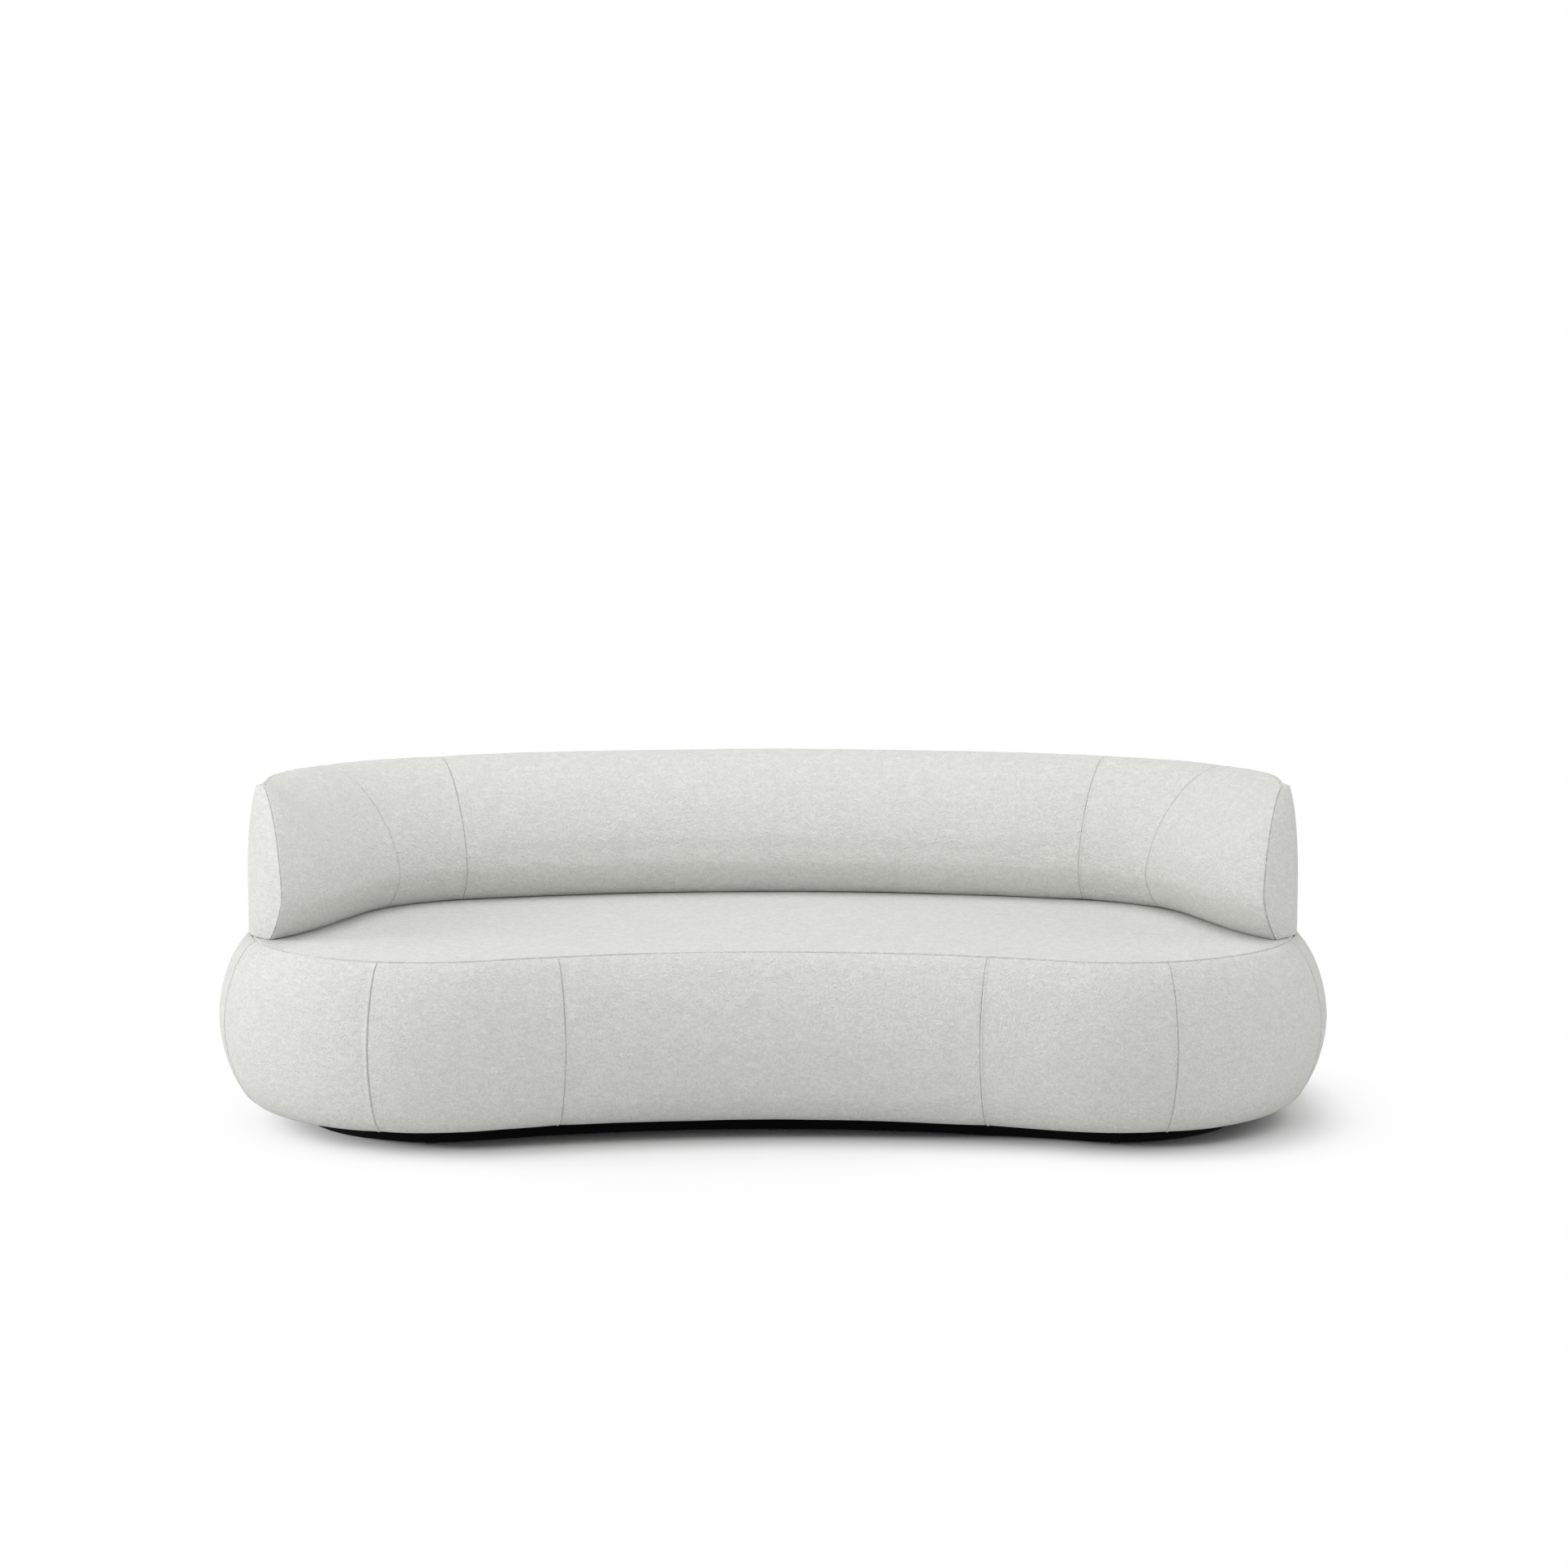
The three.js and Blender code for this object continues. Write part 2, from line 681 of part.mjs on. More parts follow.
// Face and wall of the back at a run, each a line of points, at depths below the cover's surface
function mainSection(run, faceDepth, wallDepth) {
  const foot = footAt(run);
  const wall = wallReach(foot) - wallDepth;
  const face = facePoints(wall - wallTuck - topEdgeRadius, faceDepth);
  const wallLine = wallPoints(face[profileSteps], wall);
  return {
    face: face.map((point) => spread(foot, point)),
    wall: wallLine.map((point) => spread(foot, point)),
  };
}

// The end seam, where face and wall meet at the tip
function tipLine(side, depth) {
  const [nx, ny] = [Math.sin(tipHeading), Math.cos(tipHeading)];
  const face = facePoints(tipReach - depth, depth);
  return face.map((point, k) => {
    const low = Math.max(1 - k / (profileSteps * tipFlareShare), 0);
    const x = overallWidth / 2 - tipInset - tipSideShare * depth + nx * point.reach + tipFlare * low;
    const y = tipFrontShare * depth + ny * point.reach - tipForward;
    return new THREE.Vector3(side * x, y, point.z);
  });
}

function curveBetween(start, startWay, end, endWay, share, strength) {
  const span = start.distanceTo(end) * strength;
  const [s2, s3] = [share ** 2, share ** 3];
  return new THREE.Vector3()
    .addScaledVector(start, 2 * s3 - 3 * s2 + 1)
    .addScaledVector(startWay, (s3 - 2 * s2 + share) * span)
    .addScaledVector(end, 3 * s2 - 2 * s3)
    .addScaledVector(endWay, (s3 - s2) * span);
}

// Face and wall between the start of the tip and the end seam, at a share of the way
function tipSection(side, share, depth) {
  const start = mainSection(side * tipStart, depth, depth);
  const seam = tipLine(side, depth);
  const [armX, armY] = [side * Math.cos(armHeading), -Math.sin(armHeading)];
  const faceWay = new THREE.Vector3(armX, armY, 0);
  const faceEnd = new THREE.Vector3(side * Math.cos(tipHeading), -Math.sin(tipHeading), 0);
  const wallWay = new THREE.Vector3(0, -1, 0);
  const wallEnd = new THREE.Vector3(-side * Math.sin(wallArrival), -Math.cos(wallArrival), 0);
  const face = start.face.map((point, k) => (
    curveBetween(point, faceWay, seam[k], faceEnd, share, innerCurveShare)
  ));
  const wall = start.wall.map((point, k) => (
    curveBetween(point, wallWay, seam[profileSteps - k], wallEnd, share, wallCurveShare)
  ));
  wall[0] = face[profileSteps].clone();
  return { face, wall };
}

// Place along the back: a run up to the start of the tip, and past it the share of the tip plus one
function backSection(place, faceDepth, wallDepth) {
  const reach = Math.abs(place);
  if (reach <= tipStart) return mainSection(place, faceDepth, wallDepth);
  return tipSection(Math.sign(place), reach - tipStart, faceDepth);
}

const tipEnd = tipStart + wholeTipShare;

function evenSteps(start, end, sag, radius) {
  const count = Math.ceil((end - start) / Math.sqrt(8 * radius * sag));
  return Array.from({ length: count + 1 }, (_, k) => start + (end - start) * k / count);
}

function halfBackPlaces() {
  const seams = [backSeamB, backSeamA];
  const curve = [
    ...evenSteps(0, armCornerRun, facetHeight, footRadius),
    ...evenSteps(armCornerRun, armRunStart, facetHeight / 2, armCornerRadius),
  ];
  const crowded = (place) => seams.some((seam) => Math.abs(place - seam) < 2 * seamReach);
  const tip = Array.from({ length: tipSteps + 1 }, (_, k) => tipStart + k / tipSteps);
  const places = [...curve.filter((place) => !crowded(place)), ...seams, ...tip].sort((a, b) => a - b);
  return places.filter((place, k) => k === 0 || place - places[k - 1] > weldGap);
}
const allBackPlaces = halfBackPlaces();

function backPlaces(from, to) {
  const both = allBackPlaces.flatMap((place) => (place > 0 ? [-place, place] : [place]));
  const margin = (limit) => (Math.abs(limit) > tipStart ? weldGap : seamReach);
  const inside = both.filter((place) => place > from + margin(from) && place < to - margin(to));
  return inside.sort((a, b) => a - b);
}

// One panel of the back's cover, of its face or its wall
function backPanel(name, part, from, to) {
  const isSeam = (place) => Math.abs(place) < tipStart;
  const tipGap = part === 'face' ? tipSeamGap / (tipReach * innerCurveShare) : 0;
  const start = isSeam(from) ? from + seamGap / 2 : from + tipGap;
  const end = isSeam(to) ? to - seamGap / 2 : to - tipGap;
  const trimmed = (line) => {
    if (part === 'wall') return line;
    const [edge, before] = [line[profileSteps], line[profileSteps - 1]];
    const kept = edge.clone().lerp(before, topEdgeGap / edge.distanceTo(before));
    return [...line.slice(0, profileSteps), kept];
  };
  const outside = (place, rise) => {
    const [faceRise, wallRise] = part === 'face' ? [rise, 0] : [0, rise];
    return trimmed(backSection(place, -faceRise, -wallRise)[part]);
  };
  const inside = (place) => trimmed(backSection(place, coverThickness, coverThickness)[part]);
  const places = [start, ...backPlaces(from, to), end];
  addPiece(name, panelSolid(places, isSeam, outside, inside), fabric);
}

function addBackCover() {
  backPanel('back_cover_inner_centre', 'face', -backSeamB, backSeamB);
  backPanel('back_cover_inner_shoulder_left', 'face', -backSeamA, -backSeamB);
  backPanel('back_cover_inner_shoulder_right', 'face', backSeamB, backSeamA);
  backPanel('back_cover_inner_end_left', 'face', -tipEnd, -backSeamA);
  backPanel('back_cover_inner_end_right', 'face', backSeamA, tipEnd);
  backPanel('back_cover_outer_centre', 'wall', -backSeamB, backSeamB);
  backPanel('back_cover_outer_left', 'wall', -tipEnd, -backSeamB);
  backPanel('back_cover_outer_right', 'wall', backSeamB, tipEnd);
}

function backLoop({ face, wall }) {
  return [...face, ...wall.slice(1)];
}

function addBackFoam() {
  const limit = backSeamA - seamGap / 2;
  const places = [-limit, ...backPlaces(-backSeamA, backSeamA), limit];
  const rings = places.map((place) => {
    const cavity = mainSection(place, backFoamInside, backFoamOutside);
    return [...backLoop(mainSection(place, foamDepth, foamDepth)), ...backLoop(cavity).reverse()];
  });
  addPiece('back_foam_centre', ringSolid(rings, flatUpright), foam);
  for (const [side, sign] of [['left', -1], ['right', 1]]) {
    const along = [backSeamA + seamGap / 2, ...backPlaces(backSeamA, tipEnd), tipEnd];
    const loops = along.map((place) => backLoop(backSection(sign * place, foamDepth, foamDepth)));
    addPiece(`back_foam_end_${side}`, ringSolid(loops, flatUpright), foam);
  }
}

// Boards inside the back keep clear of its padding

function frameReaches(foot, z) {
  const depth = backFoamInside + backFrameClearance;
  const half = (z > bellyHeight ? crownHalf : bellyDrop) - depth;
  const angle = Math.asin(Math.min(Math.abs((z - bellyHeight) / half), 1) ** (1 / roundShare));
  const near = backTopReach - (bellyReach - depth) * rounded(Math.cos(angle));
  const far = wallReach(foot) - backFoamOutside - backFrameClearance - wallTuck;
  return [near, far];
}

function frameLoop(run, levels, ahead) {
  const foot = footAt(run);
  const shifted = { ...foot, x: foot.x + foot.ny * ahead, y: foot.y - foot.nx * ahead };
  const near = levels.map((z) => spread(shifted, { reach: frameReaches(foot, z)[0], z }));
  const far = levels.map((z) => spread(shifted, { reach: frameReaches(foot, z)[1], z }));
  return [...near, ...far.reverse()];
}

function addBackFrame() {
  const limit = backSeamA - backFrameEndClearance;
  const places = [-limit, ...backPlaces(-limit, limit), limit];
  const strip = (levels) => ringSolid(places.map((place) => frameLoop(place, levels, 0)), flatUpright);
  const board = drilled(strip([backBottom, backBoardTop]), backBottom, backBoardTop);
  addPiece('back_board', board, plywood);
  addPiece('back_top_rail', strip([backRailBottom, backRailTop]), plywood);
  const shares = [-backRibOuterShare, -backRibInnerShare, backRibInnerShare, backRibOuterShare];
  const bottom = backBoardTop + pieceGap;
  const top = backRailBottom - pieceGap;
  const levels = [bottom, bottom + (top - bottom) / 3, bottom + (top - bottom) * 2 / 3, top];
  shares.forEach((share, k) => {
    const sides = [-boardThickness / 2, boardThickness / 2];
    const loops = sides.map((ahead) => frameLoop(share * backSeamB, levels, ahead));
    addPiece(`back_rib_${k + 1}`, ringSolid(loops, flatUpright), plywood);
  });
}

function addBolts() {
  boltPlaces().forEach(({ x, y }, k) => {
    const under = railBottom - pieceGap;
    const shank = toSolid(cylinder(boltRadius, under - weldGap, backBoardTop + boltStandOut, x, y));
    const head = toSolid(cylinder(boltHeadRadius, under - boltHeadHeight, under, x, y));
    addPiece(`back_bolt_${k + 1}`, fromSolid(shank.add(head)), zincSteel);
  });
}

addPlinth();
addBaseFrame();
addWebbing();
addBaseFoam();
addSeatFoam();
addSideCover();
addSeatCover();
addBackFrame();
addBackFoam();
addBackCover();
addBolts();

// The origin stands on the floor in the middle of the sofa's width and depth
const rearMost = rearCentreY + rearRadius + seamRise;
group.position.y = -(rearMost - endRadius) / 2;

export default group;
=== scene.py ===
"""A curved sofa: sewn felt covers over padding, a plywood frame inside and a black plinth.

Metres, +Z up, and the seat faces -Y. Left and right are those of a viewer in front, so left is -X.
"""
import json
import logging
import math
from dataclasses import dataclass, field
from enum import Enum
from typing import Any, Optional, Sequence

import bmesh
import bpy
import numpy as np
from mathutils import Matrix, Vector
from mathutils.geometry import delaunay_2d_cdt

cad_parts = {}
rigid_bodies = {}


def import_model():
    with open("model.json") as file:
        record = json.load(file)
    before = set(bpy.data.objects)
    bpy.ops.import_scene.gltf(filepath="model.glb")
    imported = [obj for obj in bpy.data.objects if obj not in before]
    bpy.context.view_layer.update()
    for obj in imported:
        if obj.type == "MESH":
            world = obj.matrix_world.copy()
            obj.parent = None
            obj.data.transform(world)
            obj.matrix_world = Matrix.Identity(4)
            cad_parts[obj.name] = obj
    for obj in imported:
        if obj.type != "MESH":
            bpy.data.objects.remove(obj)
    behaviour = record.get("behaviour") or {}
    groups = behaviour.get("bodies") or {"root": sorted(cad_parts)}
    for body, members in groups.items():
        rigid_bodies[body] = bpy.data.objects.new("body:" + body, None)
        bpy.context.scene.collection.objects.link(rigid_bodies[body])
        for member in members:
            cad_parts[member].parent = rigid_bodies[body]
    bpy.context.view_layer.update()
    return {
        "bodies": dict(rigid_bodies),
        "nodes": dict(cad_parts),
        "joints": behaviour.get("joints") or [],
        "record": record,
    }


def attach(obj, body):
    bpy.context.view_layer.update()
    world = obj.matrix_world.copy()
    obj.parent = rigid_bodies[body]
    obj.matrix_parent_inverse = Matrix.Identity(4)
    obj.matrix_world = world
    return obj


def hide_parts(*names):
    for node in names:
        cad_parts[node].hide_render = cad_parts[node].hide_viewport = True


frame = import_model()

log = logging.getLogger("sofa")

MM = 0.001
BODY = "root"

# Metres: places this close touch, nothing is divided by less than the next, and points weld within the last
TOUCHING = 1e-9
NO_LENGTH = 1e-12
WELD = 1e-6

# Faces that meet at more than this have a sharp edge between them
SHARP_EDGE = math.radians(70)


# Numbers and lines


def rounded(value: np.ndarray, power: float) -> np.ndarray:
    """Raises a share to a power and keeps its sign, which makes an ellipse leaner at its shoulders."""
    return np.sign(value) * np.abs(value) ** power


def smooth(value: np.ndarray) -> np.ndarray:
    """Eases a share from 0 to 1 with level ends."""
    share = np.clip(value, 0.0, 1.0)
    return share * share * (3.0 - 2.0 * share)


def spaced(line: np.ndarray, distances: np.ndarray) -> np.ndarray:
    """Finds points of a line at distances along it.

    Args:
        line: the line's points, one row each.
        distances: how far along the line each wanted point lies.

    Returns:
        The wanted points, one row each.
    """
    steps = np.linalg.norm(np.diff(line, axis=0), axis=1)
    along = np.concatenate([[0.0], np.cumsum(steps)])
    return np.stack([np.interp(distances, along, column) for column in line.T], axis=1)


def length_of(line: np.ndarray) -> float:
    """Gives the length of a line of points."""
    return float(np.linalg.norm(np.diff(line, axis=0), axis=1).sum())


def grid_faces(columns: int, rows: int) -> np.ndarray:
    """Gives the corners of every face of a grid of points, a row of four indices each."""
    places = np.arange(columns * rows).reshape(columns, rows)
    corners = [places[:-1, :-1], places[1:, :-1], places[1:, 1:], places[:-1, 1:]]
    return np.stack(corners, axis=2).reshape(-1, 4)


# A lump is a strength and waves that cross, each by its radians per metre along every axis and its start
Lump = tuple[float, tuple[tuple[float, ...], ...]]

PADDING_LUMPS: tuple[Lump, ...] = (
    (1.0, ((11.0, 0.0, 5.0, 0.7), (0.0, 7.0, -9.0, 1.9))),
    (0.6, ((23.0, -13.0, 0.0, 3.1), (0.0, 6.0, 17.0, 0.0))),
    (0.4, ((19.0, 31.0, 0.0, 0.0), (29.0, 0.0, -21.0, 0.4))),
)
SEAT_LUMPS: tuple[Lump, ...] = (
    (1.0, ((6.1, 0.0, 2.0), (0.0, 9.7, 0.6))),
    (0.5, ((15.0, -8.0, 0.0),)),
)


def lumpiness(places: np.ndarray, lumps: Sequence[Lump]) -> np.ndarray:
    """Works out how hand-laid padding rises and falls over places.

    Args:
        places: points, with their coordinates along the last axis.
        lumps: the lumps that add up.

    Returns:
        The height at every place, as a share of the unevenness.
    """
    total = np.zeros(places.shape[:-1])
    for strength, waves in lumps:
        crossed = np.full(places.shape[:-1], strength)
        for *across, start in waves:
            crossed = crossed * np.sin(places @ np.array(across) + start)
        total += crossed
    return total


@dataclass(frozen=True)
class Seam:
    """How the cloth runs beside one kind of seam.

    Distances are from the stitches and heights are above the plain surface, in metres. The furrow is
    the nick along the stitches. The lip is the edge of cloth turned under beside them, which stands up
    as a narrow band, and its height is given where the seam is sewn.
    """

    furrow: float
    furrow_reach: float
    furrow_power: float = 1.5
    lip_reach: tuple[float, ...] = tuple(MM * d for d in (0.0, 0.4, 0.9, 1.5, 3.0, 4.0, 5.0, 6.2, 8.5))
    lip_shares: tuple[float, ...] = (0.0, 0.25, 0.7, 0.95, 1.0, 0.95, 0.6, 0.08, 0.0)
    pull: float = 1.6 * MM
    pull_reach: float = 34 * MM
    pucker: float = 0.3 * MM
    pucker_reach: float = 10 * MM
    pucker_start: float = 3 * MM
    pucker_waves: tuple[float, ...] = (0.019, 0.027, 0.043)

    def relief(self, distance: np.ndarray, along: np.ndarray, lip: float, phase: float) -> np.ndarray:
        """Works out how far the cloth stands off beside one seam.

        Args:
            distance: distance from the seam.
            along: distance along the seam.
            lip: height of the turned edge beside the stitches.
            phase: where the puckers start, so that no two seams pucker alike.

        Returns:
            The heights, of the same shape as the distances.
        """
        height = -self.furrow * np.clip(1 - distance / self.furrow_reach, 0.0, 1.0) ** self.furrow_power
        height = height + lip * np.interp(distance, self.lip_reach, self.lip_shares)
        height = height - self.pull * np.exp(-distance / self.pull_reach)
        turns = 2 * math.pi * along
        waves = sum(np.sin(turns / wave + phase * (k + 1)) for k, wave in enumerate(self.pucker_waves))
        fade = np.exp(-distance / self.pucker_reach) * smooth(distance / self.pucker_start)
        return height + self.pucker * waves * fade


# Felled: both edges sewn down to one side. Closed: plain, with the edges parted inside. Tip: closed round
# the edge of the back's end. Brim: the seam round the seat, seen from the side panels and from the seat.
FELLED = Seam(furrow=1.6 * MM, furrow_reach=1.6 * MM)
CLOSED = Seam(furrow=4.4 * MM, furrow_reach=2.8 * MM)
TIP = Seam(furrow=5.0 * MM, furrow_reach=3.0 * MM)
BRIM_SIDE = Seam(furrow=3.4 * MM, furrow_reach=4.5 * MM, pull=1.4 * MM, pull_reach=16 * MM)
BRIM_SEAT = Seam(furrow=3.4 * MM, furrow_reach=1.0 * MM, pull=1.4 * MM, pull_reach=16 * MM)

# How deep the furrows may go in all: the cloth is 5 mm thick, and a corner keeps nearly its full height
DEEPEST = -4.0 * MM
DEEPEST_AT_CORNER = -0.6 * MM

# Distances from a seam at which the cloth has points
CROWDED = tuple(MM * d for d in (0.0, 0.4, 0.9, 1.5, 2.2, 3.0, 4.0, 5.0, 6.2, 8.5))


def lapped(outer: float, inner: float, on_left: bool) -> tuple[float, float]:
    """Puts the lips of a seam's outer and inner side in the order of the columns."""
    return (outer, inner) if on_left else (inner, outer)


def stations(length: float, step: float, sewn_start: bool, sewn_end: bool) -> np.ndarray:
    """Spreads points along a stretch of cloth, crowded where it is sewn.

    Args:
        length: the stretch's length.
        step: spacing of the points away from the seams.
        sewn_start: whether the stretch starts at a seam.
        sewn_end: whether it ends at one.

    Returns:
        Distances from the start, from 0 to the length.
    """
    near = np.array(CROWDED)
    start = near if sewn_start else np.zeros(1)
    end = length - near[::-1] if sewn_end else np.array([length])
    count = max(1, round((end[0] - start[-1]) / step))
    middle = np.linspace(start[-1], end[0], count + 1)[1:-1]
    return np.concatenate([start, middle, end])


def runs_of_length(points: np.ndarray, axis: int) -> np.ndarray:
    """Adds up the distances between neighbouring points of a grid along one axis."""
    steps = np.linalg.norm(np.diff(points, axis=axis), axis=2)
    zero = np.zeros_like(np.take(steps, [0], axis=axis))
    return np.cumsum(np.concatenate([zero, steps], axis=axis), axis=axis)


def thinned(along: np.ndarray, spacing: float, kept: Sequence[int]) -> np.ndarray:
    """Picks places along a line about a spacing apart, with some of them always kept.

    Args:
        along: distance of every place from the start.
        spacing: how far apart the picked places lie.
        kept: places to pick whatever their spacing.

    Returns:
        The picked places, in order.
    """
    picked: list[int] = []
    for start, end in zip(kept, kept[1:]):
        count = max(1, round((along[end] - along[start]) / spacing))
        wanted = np.linspace(along[start], along[end], count + 1)[:-1]
        picked.extend(start + int(np.argmin(np.abs(along[start:end] - at))) for at in wanted)
    picked.append(kept[-1])
    return np.unique(picked)


# Plans and sections


@dataclass(frozen=True)
class Arc:
    """A round stretch of the base's outline, with angles in radians and the side that is inwards."""

    x: float
    y: float
    radius: float
    start: float
    end: float
    inward: float

    @property
    def length(self) -> float:
        """Gives the length of the stretch."""
        return abs(self.end - self.start) * self.radius

    def at(self, run: np.ndarray) -> tuple[np.ndarray, np.ndarray]:
        """Gives the points and the inward directions at distances along the stretch."""
        angle = self.start + (self.end - self.start) * run / self.length
        way = np.stack([np.cos(angle), np.sin(angle)], axis=1)
        return np.array([self.x, self.y]) + self.radius * way, self.inward * way


@dataclass(frozen=True)
class Straight:
    """The straight side of the base's outline."""

    x: float
    length: float

    def at(self, run: np.ndarray) -> tuple[np.ndarray, np.ndarray]:
        """Gives the points and the inward directions at distances along the stretch."""
        points = np.stack([np.full_like(run, self.x), run], axis=1)
        return points, np.tile([-1.0, 0.0], (len(run), 1))


@dataclass
class BasePlan:
    """The kidney outline of the base from above: hollow front, round ends, bowed rear."""

    overall_width: float = 2.400
    hollow_radius: float = 1.642
    end_radius: float = 0.477
    side_run: float = 0.171
    corner_radius: float = 0.477
    rear_radius: float = 2.450
    seam_rise: float = 0.004

    def __post_init__(self) -> None:
        """Works out the centres and lengths of the arcs, and where the frame's origin lies."""
        self.end_x = self.overall_width / 2 - self.end_radius
        self.hollow_y = -math.sqrt((self.hollow_radius + self.end_radius) ** 2 - self.end_x ** 2)
        hollow_angle = math.atan2(-self.hollow_y, self.end_x)
        self.corner_x = self.overall_width / 2 - self.corner_radius
        self.rear_y = self.side_run - math.sqrt(
            (self.rear_radius - self.corner_radius) ** 2 - self.corner_x ** 2
        )
        self.corner_angle = math.atan2(self.side_run - self.rear_y, self.corner_x)
        self.stretches = (
            Arc(0.0, self.hollow_y, self.hollow_radius, math.pi / 2, hollow_angle, 1.0),
            Arc(self.end_x, 0.0, self.end_radius, hollow_angle - math.pi, 0.0, -1.0),
            Straight(self.overall_width / 2, self.side_run),
            Arc(self.corner_x, self.side_run, self.corner_radius, 0.0, self.corner_angle, -1.0),
            Arc(0.0, self.rear_y, self.rear_radius, self.corner_angle, math.pi / 2, -1.0),
        )
        self.half_run = sum(stretch.length for stretch in self.stretches)
        self.middle_y = (self.rear_y + self.rear_radius + self.seam_rise - self.end_radius) / 2

    def at(self, run: np.ndarray) -> tuple[np.ndarray, np.ndarray]:
        """Gives points of the outline in the part's frame.

        Args:
            run: distances along the outline from the middle of the front, negative to the left.

        Returns:
            The points and the inward directions, each with a row per run.
        """
        reach = np.clip(np.abs(run), 0.0, self.half_run)
        points = np.zeros((len(reach), 2))
        inward = np.zeros((len(reach), 2))
        start = 0.0
        for stretch in self.stretches:
            here = (reach >= start) & (reach <= start + stretch.length + TOUCHING)
            points[here], inward[here] = stretch.at(reach[here] - start)
            start += stretch.length
        side = np.where(run < 0, -1.0, 1.0)
        points[:, 0] *= side
        inward[:, 0] *= side
        points[:, 1] -= self.middle_y
        return points, inward


@dataclass
class PaddedEdge:
    """The upright section of the base: a fat rounded edge between the floor side and the seat."""

    bottom: float = 0.049
    top: float = 0.411
    depth: float = 0.078
    round_power: float = 1.19
    seam_angle: float = math.radians(86)
    hem_inset: float = 0.110

    def curve(self, start: float, end: float, count: int = 240) -> np.ndarray:
        """Gives insets and heights between two angles of the section, a row each."""
        angle = np.linspace(start, end, count)
        half = (self.top - self.bottom) / 2
        inset = self.depth * (1 - rounded(np.cos(angle), self.round_power))
        height = self.bottom + half + half * rounded(np.sin(angle), self.round_power)
        return np.stack([inset, height], axis=1)

    def side_line(self) -> np.ndarray:
        """Gives the section from the hem under the base up to the top seam."""
        hem = np.array([[self.hem_inset, self.bottom]])
        return np.concatenate([hem, self.curve(-math.pi / 2, self.seam_angle)])

    def seat_line(self) -> np.ndarray:
        """Gives the section from the top seam in over the brim to the flat of the seat."""
        flat = np.array([[self.hem_inset, self.top]])
        return np.concatenate([self.curve(self.seam_angle, math.pi / 2), flat])


